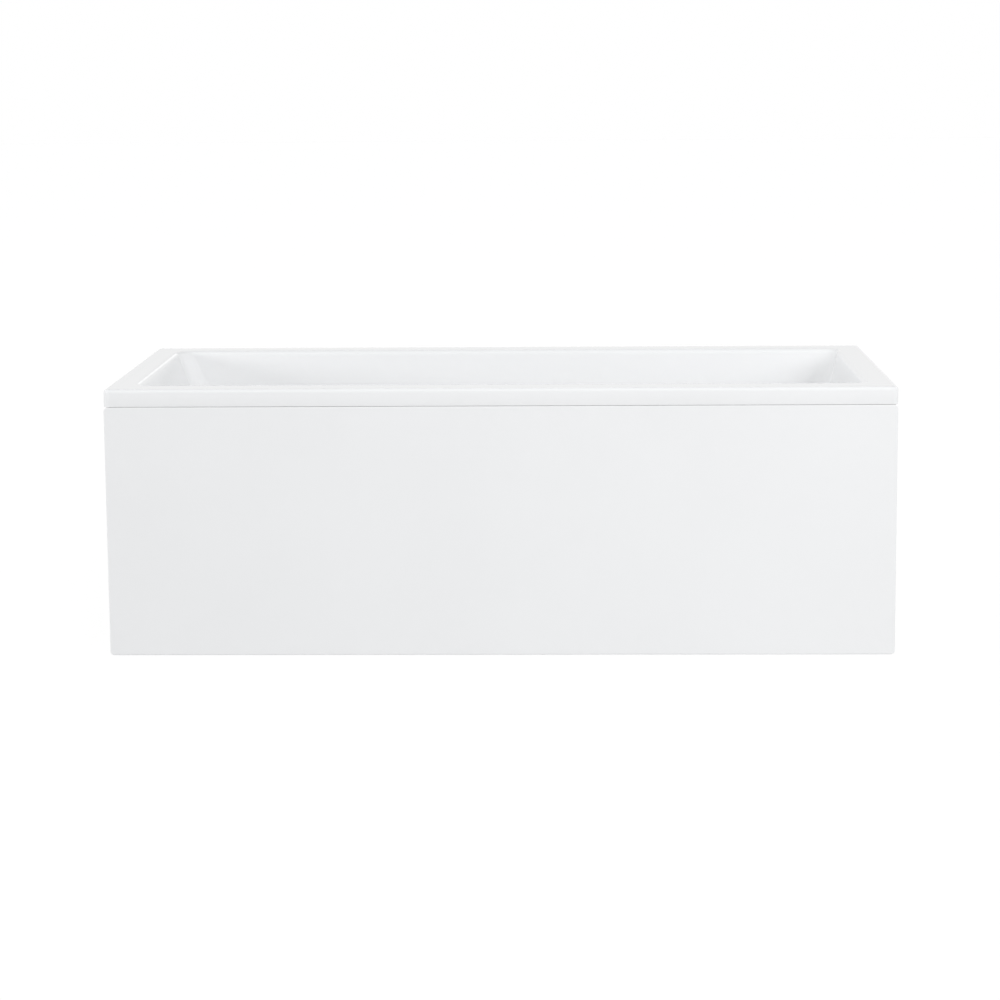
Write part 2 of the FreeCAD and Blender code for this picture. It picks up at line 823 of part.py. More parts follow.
def make_centre_bracket():
    """A hat-shaped bracket under the board that carries the middle leg."""
    middle, half, end = "centre_line", "bracket_web/2", "bracket_reach"
    web_under = "bracket_web_top - sheet_gauge"
    body = bent_strip(
        "centre_hat",
        [
            (f"{middle} - {end}", "board_under"),
            (f"{middle} - {half}", "board_under"),
            (f"{middle} - {half}", "bracket_web_top"),
            (f"{middle} + {half}", "bracket_web_top"),
            (f"{middle} + {half}", "board_under"),
            (f"{middle} + {end}", "board_under"),
            (f"{middle} + {end}", "board_under - sheet_gauge"),
            (f"{middle} + {half} + sheet_gauge", "board_under - sheet_gauge"),
            (f"{middle} + {half} + sheet_gauge", web_under),
            (f"{middle} - {half} - sheet_gauge", web_under),
            (f"{middle} - {half} - sheet_gauge", "board_under - sheet_gauge"),
            (f"{middle} - {end}", "board_under - sheet_gauge"),
        ],
        ("centre_leg_place - bracket_width/2", "centre_leg_place + bracket_width/2"),
    )
    stud_hole = rod(
        "centre_stud_hole",
        "stud_radius + stud_hole_play",
        "centre_leg_place",
        "centre_line",
        past(web_under, "bracket_web_top"),
    )
    holes = [stud_hole]
    for n, (x, y) in enumerate(
        four_corners("centre_leg_place", "centre_line", "screw_spread", "bracket_screw_reach")
    ):
        through = past("board_under - sheet_gauge", "board_under")
        holes.append(rod(f"centre_screw_hole_{n}", "screw_radius + screw_hole_play", x, y, through))
    return sub_part(cut("centre_bracket", body, holes), "centre_leg_bracket")


def make_leg(name, x, y, web_under, web_top):
    """One adjustable leg: foot pad, threaded stud, and the two nuts that clamp the web of its carrier."""
    pad_body = turned(
        f"{name}_pad",
        [
            ("0", "0"),
            ("pad_radius", "0"),
            ("pad_radius", "pad_base - pad_chamfer"),
            ("pad_radius - pad_chamfer", "pad_base"),
            ("pad_hub_radius + pad_chamfer", "pad_base"),
            ("pad_hub_radius", "pad_base + pad_chamfer"),
            ("pad_hub_radius", "pad_height"),
            ("stud_radius + thread_play", "pad_height"),
            ("stud_radius + thread_play", "pad_socket_floor"),
            ("0", "pad_socket_floor"),
        ],
    )
    sub_part(place(pad_body, x, y), f"foot_pad_{name}")
    stud_ends = ("pad_socket_floor", f"{web_top} + stud_top_over_web")
    sub_part(rod(f"{name}_stud", "stud_radius", x, y, stud_ends), f"leg_stud_{name}")
    lower = (f"{web_under} - nut_height", web_under)
    upper = (web_top, f"{web_top} + nut_height")
    nuts = [
        polygon_rod(f"{name}_{which}", 6, "nut_flats / sqrt(3)", x, y, ends)
        for which, ends in (("adjusting_nut", lower), ("lock_nut", upper))
    ]
    bore = rod(f"{name}_thread", "stud_radius + thread_play", x, y, past(lower[0], upper[1]))
    sub_part(cut(f"{name}_bored_nuts", fuse(f"{name}_nuts", nuts), [bore]), f"leg_nuts_{name}")


def make_legs():
    for rail, x in RAILS.items():
        make_rail(rail, x)
        for side, sign in (("front", "-"), ("back", "+")):
            make_leg(f"{side}_{rail}", x, f"centre_line {sign} leg_reach", "rail_web_under", "board_under")
    make_centre_bracket()
    web_under = "bracket_web_top - sheet_gauge"
    make_leg("centre", "centre_leg_place", "centre_line", web_under, "bracket_web_top")


# ---------------------------------------------------------------- wall brackets


def make_wall_brackets():
    """Joggled steel strips from the back batten down to the wall, each with two screw holes."""
    wall = "bath_width/2"
    drop = f"{wall} - acrylic - wall_bracket_gap"
    step = "skirt_foot - wall_bracket_step"
    for name, sign in (("head", "-"), ("foot", "")):
        x = f"{sign}wall_bracket_place"
        strip = bent_strip(
            f"wall_strip_{name}",
            [
                (f"{wall} - batten_inside", "batten_under"),
                (drop, "batten_under"),
                (drop, step),
                (wall, step),
                (wall, "wall_bracket_foot"),
                (f"{wall} - sheet_gauge", "wall_bracket_foot"),
                (f"{wall} - sheet_gauge", f"{step} - sheet_gauge"),
                (f"{drop} - sheet_gauge", f"{step} - sheet_gauge"),
                (f"{drop} - sheet_gauge", "batten_under - sheet_gauge"),
                (f"{wall} - batten_inside", "batten_under - sheet_gauge"),
            ],
            (f"{x} - wall_bracket_width/2", f"{x} + wall_bracket_width/2"),
        )
        holes = [
            rod(
                f"wall_hole_{name}_{n}",
                "wall_hole_radius",
                x,
                past(f"{wall} - sheet_gauge", wall),
                f"wall_bracket_foot + wall_hole_edge + {n} * wall_hole_spacing",
            )
            for n in range(2)
        ]
        for n, (screw_x, y) in enumerate(wall_bracket_screw_places()):
            through = past("batten_under - sheet_gauge", "batten_under")
            if size(screw_x) * size(x) > 0:
                name_here = f"wall_screw_hole_{name}_{n}"
                holes.append(rod(name_here, "screw_radius + screw_hole_play", screw_x, y, through))
        sub_part(cut(f"wall_bracket_{name}", strip, holes), f"wall_bracket_{name}")
    screws = []
    for n, (x, y) in enumerate(wall_bracket_screw_places()):
        screws += screw(f"wall_screw_{n}", x, y, "batten_under - sheet_gauge", "sheet_gauge")
    sub_part(fuse("wall_screws", screws), "wall_bracket_screws")


# ---------------------------------------------------------------- front panel and its fixings


def low_bracket_screw_y():
    return "centre_line - rail_reach + fixing_lap/2"


def panel_fixings():
    """Name, X and height of each push-fit fixing."""
    return [
        ("top_head", "-fixing_place", "fixing_top_height"),
        ("top_foot", "fixing_place", "fixing_top_height"),
        ("low_head", "head_rail_place", "fixing_low_height"),
        ("low_foot", "foot_rail_place", "fixing_low_height"),
    ]


def make_front_panel():
    """A one-piece tray: flat face flush with the skirt, rounded all round, with returns to the back."""
    body = new_body("panel_tray")
    ends = ("-bath_length/2 + panel_end_inset", "bath_length/2 - panel_end_inset")
    heights = ("panel_floor_gap", "panel_top")
    face = sketch_on(body, "panel_outline", "XZ_Plane", "-(panel_back)")
    rounded_rectangle(face, ends, heights, "panel_corner_radius")
    pad(body, "panel_block", face, "panel_return")
    front = size("-bath_width/2")
    fillet(
        body,
        "panel_front_edge",
        lambda box: near(box.YMin, front) and near(box.YMax, front),
        "panel_edge_radius",
    )
    inside = sketch_on(body, "panel_inside_outline", "XZ_Plane", "-(panel_back)")
    rounded_rectangle(
        inside,
        (f"{ends[0]} + panel_thickness", f"{ends[1]} - panel_thickness"),
        (f"{heights[0]} + panel_thickness", f"{heights[1]} - panel_thickness"),
        "panel_corner_radius - panel_thickness",
    )
    pocket(body, "panel_hollow", inside, "panel_return - panel_thickness", along_normal=True)
    floor = size("panel_inside")
    fillet(
        body,
        "panel_inner_edge",
        lambda box: near(box.YMin, floor) and near(box.YMax, floor),
        "panel_inner_radius",
    )
    sub_part(body, "front_panel")
    pins = []
    for name, x, z in panel_fixings():
        base_face, tip = "panel_inside + pin_base", "fixing_face + clip_barrel + pin_tail"
        pins.append(rod(f"pin_base_{name}", "pin_base_radius", x, ("panel_inside", base_face), z))
        pins.append(rod(f"pin_{name}", "pin_radius", x, ("panel_inside", tip), z))
    sub_part(fuse("panel_pin_set", pins), "panel_pins")


def make_panel_brackets():
    """Angle strips that carry the clips: two from the front batten, two from the ends of the leg rails."""
    screws, clips = [], []
    for name, x, height in panel_fixings():
        top_one = name.startswith("top")
        seat = "batten_under" if top_one else "board_under + sheet_gauge"
        end = "-bath_width/2 + batten_inside" if top_one else "centre_line - rail_reach + fixing_lap"
        strip = bent_strip(
            f"panel_strip_{name}",
            [
                ("fixing_face", seat),
                (end, seat),
                (end, f"{seat} - sheet_gauge"),
                ("fixing_face + sheet_gauge", f"{seat} - sheet_gauge"),
                ("fixing_face + sheet_gauge", f"{height} - fixing_tail"),
                ("fixing_face", f"{height} - fixing_tail"),
            ],
            (f"{x} - fixing_width/2", f"{x} + fixing_width/2"),
        )
        across = past("fixing_face", "fixing_face + sheet_gauge")
        holes = [rod(f"clip_seat_{name}", "clip_barrel_radius + clip_seat_play", x, across, height)]
        y = "fixing_face + fixing_lap" if top_one else low_bracket_screw_y()
        for n, side in enumerate("-+"):
            place_x = f"{x} {side} screw_spread"
            through = past(f"{seat} - sheet_gauge", seat)
            hole_name = f"panel_screw_hole_{name}_{n}"
            holes.append(rod(hole_name, "screw_radius + screw_hole_play", place_x, y, through))
            head_seat = f"{seat} - sheet_gauge" if top_one else seat
            screws += screw(f"panel_screw_{name}_{n}", place_x, y, head_seat, "sheet_gauge", upward=top_one)
        sub_part(cut(f"panel_bracket_{name}", strip, holes), f"panel_bracket_{name}")
        front, back = "fixing_face - clip_flange", "fixing_face + clip_barrel"
        flange = rod(f"clip_flange_{name}", "clip_flange_radius", x, (front, "fixing_face"), height)
        barrel = rod(f"clip_barrel_{name}", "clip_barrel_radius", x, ("fixing_face", back), height)
        bore = rod(f"clip_bore_{name}", "pin_radius + pin_play", x, past(front, back), height)
        clips.append(cut(f"clip_{name}", fuse(f"clip_body_{name}", [flange, barrel]), [bore]))
    sub_part(fuse("panel_screws", screws), "panel_bracket_screws")
    sub_part(fuse("panel_clip_set", clips), "panel_clips")


# ---------------------------------------------------------------- waste


def at_waste(obj):
    """Stands an object that was turned about Z, with true heights, on the axis of the waste."""
    return place(obj, "waste_x", "centre_line")


def make_waste_flange():
    """The dished ring in the basin's floor, with its threaded tail and the spider that guides the plug."""
    dish_outside = "dish_radius + dish_wall"
    turning = turned(
        "flange_turning",
        [
            ("tail_bore", "tail_foot"),
            ("tail_radius", "tail_foot"),
            ("tail_radius", "dish_floor - dish_wall"),
            (dish_outside, "dish_floor - dish_wall"),
            (dish_outside, "flange_under"),
            ("flange_radius", "flange_under"),
            ("flange_radius", "flange_under + flange_edge"),
            ("flange_radius - flange_rim", "flange_top"),
            ("dish_radius", "flange_top"),
            ("dish_radius", "dish_floor"),
            ("tail_bore", "dish_floor"),
        ],
    )
    height = ("tail_foot", "hub_top")
    reach = "(tail_bore + spoke_root)"
    hub = rod("flange_hub", "hub_radius", "waste_x", "centre_line", height)
    spoke = ("centre_line - spoke_width/2", "centre_line + spoke_width/2")
    across = box("flange_spoke_x", (f"waste_x - {reach}", f"waste_x + {reach}"), spoke, height)
    spoke = ("waste_x - spoke_width/2", "waste_x + spoke_width/2")
    along = box("flange_spoke_y", spoke, (f"centre_line - {reach}", f"centre_line + {reach}"), height)
    solid = fuse("flange_solid", [at_waste(turning), hub, across, along])
    bore = rod("flange_bore", "stem_bore", "waste_x", "centre_line", past("tail_foot", "hub_top"))
    sub_part(cut("flange_cut", solid, [bore]), "waste_flange")
    for which, outside, ends in (
        ("upper", "flange_radius", ("floor_top", "flange_under")),
        ("lower", "cup_flange_radius", ("cup_top", "laminate_foot")),
    ):
        outer = f"{outside} - seal_inset"
        seal = ring(f"{which}_seal", outer, "waste_hole_radius", "waste_x", "centre_line", ends)
        sub_part(seal, f"waste_seal_{which}")


def make_waste_body():
    """The cup under the floor: neck for the tail, side port for the overflow, outlet spigot, lever lugs."""
    cup_bore = "cup_radius - cup_wall"
    cup = turned(
        "waste_cup",
        [
            ("neck_bore", "cup_top"),
            ("cup_flange_radius", "cup_top"),
            ("cup_flange_radius", "cup_top - cup_flange"),
            ("cup_radius", "cup_top - cup_flange"),
            ("cup_radius", "cup_floor - cup_wall"),
            ("spigot_radius", "cup_floor - cup_wall"),
            ("spigot_radius", "spigot_foot"),
            ("spigot_bore", "spigot_foot"),
            ("spigot_bore", "cup_floor"),
            (cup_bore, "cup_floor"),
            (cup_bore, "tail_foot"),
            ("neck_bore", "tail_foot"),
        ],
    )
    port_end = "waste_x + cup_radius + port_reach"
    wall_middle = "waste_x + cup_radius - cup_wall/2"
    port = rod("waste_port", "port_radius", (wall_middle, port_end), "centre_line", "port_height")
    port_hole = rod(
        "waste_port_bore",
        "port_bore",
        ("waste_x + port_radius", f"{port_end} + overshoot"),
        "centre_line",
        "port_height",
    )
    gland = rod(
        "waste_gland",
        "gland_radius",
        ("waste_x + gland_start", "waste_x + gland_end"),
        "centre_line + cable_offset",
        "port_height",
    )
    lug_outside = "(lug_inside + lug_thickness)"
    root = f"centre_line - sqrt(cup_radius^2 - {lug_outside}^2) + lug_root"
    lugs = [
        box(
            f"lug_{n}",
            sides,
            (root, "centre_line - lever_arm + lug_radius"),
            ("lever_pivot - lug_radius", "lever_pivot + lug_radius"),
        )
        for n, sides in enumerate(
            (
                (f"waste_x - {lug_outside}", "waste_x - lug_inside"),
                ("waste_x + lug_inside", f"waste_x + {lug_outside}"),
            )
        )
    ]
    axle_hole = rod(
        "axle_hole",
        "axle_radius + axle_play",
        past(f"waste_x - {lug_outside}", f"waste_x + {lug_outside}"),
        "centre_line - lever_arm",
        "lever_pivot",
    )
    solid = fuse("waste_solid", [at_waste(cup), port, gland] + lugs)
    return sub_part(cut("waste_cut", solid, [port_hole, axle_hole]), "waste_body")


def make_plug():
    """The pop-up plug: mushroom cap, sealing shoulder and a stem that stands on the lift lever."""
    plug = turned(
        "plug_turning",
        [
            ("0", "stem_foot"),
            ("stem_radius", "stem_foot"),
            ("stem_radius", "plug_under - plug_hub"),
            ("plug_hub_radius", "plug_under - plug_hub"),
            ("plug_hub_radius", "seal_top"),
            ("dish_radius - plug_shoulder_gap", "seal_top"),
            ("dish_radius - plug_shoulder_gap", "plug_under"),
            ("plug_radius", "plug_under"),
            ("plug_radius", "plug_under + plug_lip"),
            ("plug_radius - plug_bevel", "plug_under + plug_cap"),
            ("0", "plug_under + plug_cap + plug_crown"),
        ],
    )
    sub_part(at_waste(plug), "plug")
    seal = ring(
        "plug_washer",
        "dish_radius - plug_shoulder_gap / 2",
        "plug_hub_radius + plug_seal_play",
        "waste_x",
        "centre_line",
        ("dish_floor", "seal_top"),
    )
    sub_part(seal, "plug_seal")


def make_lift_lever():
    """The lever under the plug's stem, made level about its axle and then let down by half its swing."""
    reach = "(lug_inside - lever_side_play)"
    outside = "(lug_inside + lug_thickness)"
    half = "lever_width/2"
    pieces = [
        rod("lever_hub", "lever_hub_radius", (f"-{reach}", reach), "0", "0"),
        rod("lever_axle", "axle_radius", (f"-{outside}", outside), "0", "0"),
        box(
            "lever_arm_bar",
            (f"-{half}", half),
            ("0", "lever_arm"),
            ("-lever_thickness/2", "lever_thickness/2"),
        ),
        rod("lever_tip", "lever_tip_radius", (f"-{half}", half), "lever_arm", "0"),
    ]
    lever = fuse("lever", pieces)
    lever.Placement = Placement(Vector(), Rotation(Vector(1, 0, 0), -1))
    bind(lever, Placement__Rotation__Angle="-lever_swing / 2")
    sub_part(place(lever, "waste_x", "centre_line - lever_arm", "lever_pivot"), "lift_lever")


# ---------------------------------------------------------------- overflow


def make_overflow():
    """Plate, seal and body of the overflow, all made about Z and then stood on the sloping foot wall."""
    plate = turned(
        "plate_turning",
        [
            ("spindle_radius + spindle_play", "-plate_depth"),
            ("plate_radius - plate_wall / 2", "-plate_depth"),
            ("plate_radius", "-plate_depth + plate_wall / 2"),
            ("plate_radius", "0"),
            ("plate_radius - plate_wall", "0"),
            ("plate_radius - plate_wall", "-plate_depth + plate_wall"),
            ("tail_radius", "-plate_depth + plate_wall"),
            ("tail_radius", "overflow_cup_start"),
            ("tail_bore", "overflow_cup_start"),
            ("tail_bore", "-plate_depth + plate_wall"),
            ("spindle_radius + spindle_play", "-plate_depth + plate_wall"),
        ],
    )
    slot = box(
        "plate_slot",
        ("tail_bore - plate_slot_lap", "plate_radius + overshoot"),
        ("-tail_bore / 2", "tail_bore / 2"),
        ("-plate_depth + plate_wall + plate_slot_margin", "-plate_slot_margin"),
    )
    sub_part(tilt(cut("plate_cut", plate, [slot])), "overflow_plate")

    seal = ring(
        "wall_seal",
        "overflow_body_flange_radius - seal_inset",
        "tail_radius + overflow_hole_play",
        "0",
        "0",
        ("laminate_outside", "overflow_seat"),
    )
    sub_part(tilt(seal), "overflow_seal")

    chamber_end = "overflow_cup_start + overflow_cup_depth"
    cup = turned(
        "overflow_cup",
        [
            ("neck_bore", "overflow_seat"),
            ("overflow_body_flange_radius", "overflow_seat"),
            ("overflow_body_flange_radius", "overflow_seat + overflow_body_flange"),
            ("overflow_cup_radius", "overflow_seat + overflow_body_flange"),
            ("overflow_cup_radius", "overflow_end"),
            ("0", "overflow_end"),
            ("0", chamber_end),
            ("overflow_cup_radius - cup_wall", chamber_end),
            ("overflow_cup_radius - cup_wall", "overflow_cup_start"),
            ("neck_bore", "overflow_cup_start"),
        ],
    )
    port_start, port_end = "overflow_cup_radius - cup_wall/2", "overflow_cup_radius + overflow_port_reach"
    port = rod("overflow_port", "port_radius", (port_start, port_end), "0", "overflow_axis")
    port_hole = rod(
        "overflow_port_bore",
        "port_bore",
        ("port_radius", f"{port_end} + overshoot"),
        "0",
        "overflow_axis",
    )
    gland_ends = ("gland_start", "gland_end")
    gland = rod("overflow_gland", "gland_radius", gland_ends, "cable_offset", "overflow_axis")
    body = cut("overflow_body_cut", fuse("overflow_solid", [cup, port, gland]), [port_hole])
    sub_part(tilt(body), "overflow_body")


def make_overflow_knob():
    """The turning knob with its spindle, and the drum on the spindle that winds the cable."""
    face = "(-plate_depth - knob_gap)"
    top = f"({face} - knob_height)"
    spindle_end = "overflow_axis + drum_height"
    knob = turned(
        "knob_turning",
        [
            ("0", top),
            ("knob_radius - knob_chamfer", top),
            ("knob_radius", f"{top} + knob_chamfer"),
            ("knob_radius", face),
            ("spindle_radius", face),
            ("spindle_radius", spindle_end),
            ("0", spindle_end),
        ],
    )
    grip = box(
        "knob_grip",
        ("-grip_width/2", "grip_width/2"),
        ("knob_chamfer - knob_radius", "knob_radius - knob_chamfer"),
        (f"{top} - grip_height", f"{top} + grip_root"),
    )
    sub_part(tilt(fuse("knob", [knob, grip])), "overflow_knob")
    drum_ends = ("overflow_axis - drum_height/2", "overflow_axis + drum_height/2")
    drum = ring("drum", "drum_radius", "spindle_radius + thread_play", "0", "0", drum_ends)
    sub_part(tilt(drum), "cable_drum")


# ---------------------------------------------------------------- hose and cable between overflow and waste


def rounded_route(points, bend):
    """Straight runs through points, with a tangent arc of one radius at each point between the ends."""
    shortest = 1e-6
    edges, start = [], points[0]
    for before, corner, after in zip(points, points[1:], points[2:]):
        inward, onward = (corner - before).normalize(), (after - corner).normalize()
        half_turn = inward.getAngle(onward) / 2
        setback = bend * math.tan(half_turn)
        arc_start, arc_end = corner - inward * setback, corner + onward * setback
        arc_middle = corner + (onward - inward).normalize() * (bend / math.cos(half_turn) - bend)
        if start.distanceToPoint(arc_start) > shortest:
            edges.append(Part.LineSegment(start, arc_start).toShape())
        edges.append(Part.Arc(arc_start, arc_middle, arc_end).toShape())
        start = arc_end
    edges.append(Part.LineSegment(start, points[-1]).toShape())
    return Part.Wire(edges)


def wall_route(start, end, side):
    """The route from the overflow down the wall and along to the waste.

    The start is measured down the wall from the overflow's axis, the end along X from the waste's axis.
    The bend leaves at least a cuff's length straight at both ends.
    """
    slope = math.radians(size("foot_slope"))
    down_wall = Vector(-math.sin(slope), 0, -math.cos(slope))
    out_of_wall = Vector(math.cos(slope), 0, -math.sin(slope))
    middle = Vector(size("overflow_x"), size("centre_line") + side, size("overflow_z"))
    first = middle + out_of_wall * size("overflow_axis") + down_wall * start
    last = Vector(size("waste_x") + end, size("centre_line") + side, size("port_height"))
    corner = first + down_wall * ((first.z - last.z) / math.cos(slope))
    half_turn = down_wall.getAngle(last - corner) / 2
    shorter_run = min(corner.distanceToPoint(first), corner.distanceToPoint(last))
    widest_bend = (shorter_run - size("hose_cuff")) / math.tan(half_turn)
    return rounded_route([first, corner, last], min(size("hose_bend_radius"), widest_bend))


def along(route, distance):
    """The point at a distance along a route, and the direction there."""
    for edge in route.Edges:
        if distance <= edge.Length or edge.isSame(route.Edges[-1]):
            parameter = edge.getParameterByLength(min(distance, edge.Length))
            return edge.valueAt(parameter), edge.tangentAt(parameter)
        distance -= edge.Length


def hoop(route, distance, radius, across=Vector(0, 1, 0)):
    """A circle square to the route, its X axis always the same way across the route's plane."""
    point, direction = along(route, distance)
    placement = Placement(point, Rotation(across, Vector(), direction, "ZXY"))
    circle = Part.Circle(Vector(), Vector(0, 0, 1), radius).toShape()
    circle.Placement = placement
    return Part.Wire([circle])


def tube_solid(route, radius, across=Vector(0, 1, 0)):
    """A round solid swept along a route."""
    return route.makePipeShell([hoop(route, 0, radius, across)], True, False)


def make_hose():
    """The ribbed overflow hose: ribs from a formula between two plain cuffs, with its bore."""
    start = size("overflow_cup_radius + hose_seat_gap")
    end = size("cup_radius + hose_seat_gap")
    route = wall_route(start, end, 0)
    bore, cuff_length, pitch = size("hose_bore_radius"), size("hose_cuff"), size("rib_pitch")
    cuff, root, crest = (bore + size(f"hose_{wall}_wall") for wall in ("cuff", "root", "crest"))
    ribs = int((route.Length - 2 * cuff_length) / pitch)
    hoops = [hoop(route, 0, cuff), hoop(route, cuff_length, cuff)]
    first_rib = (route.Length - ribs * pitch) / 2
    rib_profile = (root, crest, crest, root)
    for rib in range(ribs):
        for number, radius in enumerate(rib_profile):
            share = (number + 0.5) / len(rib_profile)
            hoops.append(hoop(route, first_rib + pitch * (rib + share), radius))
    hoops += [hoop(route, route.Length - cuff_length, cuff), hoop(route, route.Length, cuff)]
    outside = Part.makeLoft(hoops, True, True)
    hose = doc.addObject("Part::Feature", "hose")
    hose.Shape = outside.cut(tube_solid(route, bore))
    bend = route.Edges[1].Curve.Radius
    print(f"hose: {ribs} ribs, bend radius {bend:.1f} mm, route {route.Length:.1f} mm")
    return sub_part(hose, "overflow_hose")


def make_cable():
    """The control cable's sheath from the overflow's gland to the waste's gland, beside the hose."""
    route = wall_route(size("gland_end"), size("gland_end"), size("cable_offset"))
    radius = size("cable_radius")
    cable = doc.addObject("Part::Feature", "cable")
    cable.Shape = tube_solid(route, radius)
    expected = math.pi * radius**2 * route.Length
    print(f"cable: volume {cable.Shape.Volume:.0f} mm3 of {expected:.0f} expected")
    return sub_part(cable, "plug_cable")


def make_hose_clips():
    """Band clips on the hose's two cuffs, each with its screw housing."""
    cuff = "hose_bore_radius + hose_cuff_wall + hose_clip_play"
    inset = "hose_seat_gap + hose_clip_inset"
    clips = []
    low, high = f"({cuff} + hose_clip_band / 2)", f"({cuff} + hose_clip_box)"
    for name, base, height, x, y, housing in (
        ("overflow", "overflow_cup_radius", "overflow_axis", "0", "0", (low, high)),
        ("waste", "cup_radius", "port_height", "waste_x", "centre_line", ("-" + high, "-" + low)),
    ):
        ends = (f"{x} + {base} + {inset}", f"{x} + {base} + {inset} + hose_clip_width")
        band = ring(f"band_{name}", f"{cuff} + hose_clip_band", cuff, ends, y, height)
        sides = (f"{y} - hose_clip_box", f"{y} + hose_clip_box")
        rise = [f"{height} + {end}" for end in housing]
        clip = fuse(f"hose_clip_{name}", [band, box(f"housing_{name}", ends, sides, rise)])
        clips.append(tilt(clip) if name == "overflow" else clip)
    return sub_part(fuse("hose_clip_set", clips), "hose_clips")


# ---------------------------------------------------------------- trap


def trap_run(name, radius):
    """The solid of the trap's round passage at a radius: down, round the dip, up, and out to the wall."""
    x, y, bend = size("waste_x"), size("centre_line"), size("trap_bend_radius")
    dip_height, outlet_height = size("trap_low_centre") - bend, size("outlet_height")
    points = [
        Vector(x, y, size("trap_top")),
        Vector(x, y, dip_height),
        Vector(x, y + 2 * bend, dip_height),
        Vector(x, y + 2 * bend, outlet_height),
        Vector(x, size("socket_start"), outlet_height),
    ]
    run = doc.addObject("Part::Feature", name)
    run.Shape = tube_solid(rounded_route(points, bend), size(radius), across=Vector(1, 0, 0))
    return run


def make_trap():
    x, y, z = "waste_x", "centre_line", "outlet_height"
    collar = rod("trap_collar_disc", "trap_collar_radius", x, y, ("trap_top - trap_collar", "trap_top"))
    socket = rod("trap_socket", "socket_radius", x, ("socket_start", "socket_end"), z)
    solid = fuse("trap_solid", [trap_run("trap_wall", "trap_radius"), collar, socket])
    shoulder = "socket_start + socket_shoulder"
    passage = [
        trap_run("trap_passage", "trap_bore"),
        rod("trap_mouth", "trap_bore", x, y, ("trap_top", "trap_top + overshoot")),
        rod("trap_throat", "trap_bore", x, ("socket_start", f"{shoulder} + overshoot"), z),
        rod("trap_pipe_seat", "pipe_bore", x, (shoulder, "socket_end + overshoot"), z),
    ]
    sub_part(cut("trap_cut", solid, passage), "trap_body")

    washer = ring("inlet_washer", "trap_collar_radius", "spigot_bore", x, y, ("trap_top", "spigot_foot"))
    sub_part(washer, "trap_washer")
    thread = "spigot_radius + trap_nut_play"
    nut_top = "trap_nut_foot + trap_nut_height"
    nut = polygon_rod("inlet_nut", 12, "trap_nut_radius", x, y, ("trap_nut_foot", nut_top))
    collar_under = "trap_top - trap_collar"
    over_collar = rod("inlet_nut_thread", thread, x, y, (collar_under, f"{nut_top} + overshoot"))
    through_lip = past("trap_nut_foot", collar_under)
    lip_hole = rod("inlet_nut_lip", "trap_radius + trap_lip_play", x, y, through_lip)
    sub_part(cut("inlet_nut_cut", nut, [over_collar, lip_hole]), "trap_nut")

    seal_end = "socket_end + outlet_seal_thickness"
    nut_end = f"{seal_end} + outlet_nut_lip"
    seal = ring("outlet_ring", "socket_radius", "pipe_bore", x, ("socket_end", seal_end), z)
    sub_part(seal, "trap_outlet_seal")
    nut_bore = "socket_radius + trap_nut_play"
    nut_start = f"{nut_end} - outlet_nut_length"
    nut = polygon_rod("outlet_nut", 12, f"{nut_bore} + outlet_nut_wall", x, (nut_start, nut_end), z)
    over_socket = rod("outlet_nut_thread", nut_bore, x, (f"{nut_start} - overshoot", seal_end), z)
    pipe_hole = rod("outlet_nut_hole", "pipe_bore + trap_nut_play", x, past(seal_end, nut_end), z)
    sub_part(cut("outlet_nut_cut", nut, [over_socket, pipe_hole]), "trap_outlet_nut")


# ---------------------------------------------------------------- build, check and write


def check_document():
    """Stops if any object failed or any sub-part is empty or not valid."""
    doc.recompute()
    for obj in doc.Objects:
        if {"Invalid", "Error"} & set(obj.State):
            raise RuntimeError(f"{obj.Name} failed: {obj.State}")
    for obj in SUB_PARTS:
        if obj.Shape.isNull() or not obj.Shape.isValid() or not obj.Shape.Solids:
            raise RuntimeError(f"{obj.Label} has no valid shape")


def main():
    make_shell()
    make_reinforcement()
    make_base_board()
    make_battens()
    make_legs()
    make_wall_brackets()
    make_front_panel()
    make_panel_brackets()
    make_waste_flange()
    make_waste_body()
    make_plug()
    make_lift_lever()
    make_overflow()
    make_overflow_knob()
    make_hose()
    make_cable()
    make_hose_clips()
    make_trap()
    check_document()
    os.makedirs("parts", exist_ok=True)
    for obj in SUB_PARTS:
        obj.Shape.exportStep(f"parts/{obj.Label}.step")
    print(f"{len(SUB_PARTS)} sub-parts written")


main()
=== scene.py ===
"""Alcove bath with an apron panel: surfaces, finishes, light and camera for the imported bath."""

import logging
import math
from dataclasses import dataclass, field
from enum import Enum
from typing import Callable, Iterable, NamedTuple, Optional, Sequence

import bmesh
import bpy
from mathutils import Matrix, Vector


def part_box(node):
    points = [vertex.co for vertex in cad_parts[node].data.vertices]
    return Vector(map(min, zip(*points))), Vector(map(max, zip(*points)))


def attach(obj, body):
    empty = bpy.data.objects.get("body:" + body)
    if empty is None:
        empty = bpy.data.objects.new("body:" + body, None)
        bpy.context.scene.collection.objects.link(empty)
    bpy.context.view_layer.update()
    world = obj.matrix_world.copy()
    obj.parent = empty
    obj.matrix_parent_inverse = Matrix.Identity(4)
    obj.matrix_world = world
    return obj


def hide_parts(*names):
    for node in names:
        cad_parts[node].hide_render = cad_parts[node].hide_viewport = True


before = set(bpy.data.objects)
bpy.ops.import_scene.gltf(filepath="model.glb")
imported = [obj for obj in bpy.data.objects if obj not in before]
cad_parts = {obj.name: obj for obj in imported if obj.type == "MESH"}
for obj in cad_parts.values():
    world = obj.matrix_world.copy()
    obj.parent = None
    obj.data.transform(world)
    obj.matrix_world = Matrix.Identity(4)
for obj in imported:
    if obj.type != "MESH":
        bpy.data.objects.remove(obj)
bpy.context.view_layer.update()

LOG = logging.getLogger("alcove_bath")
MM = 0.001
QUARTER = math.pi / 2
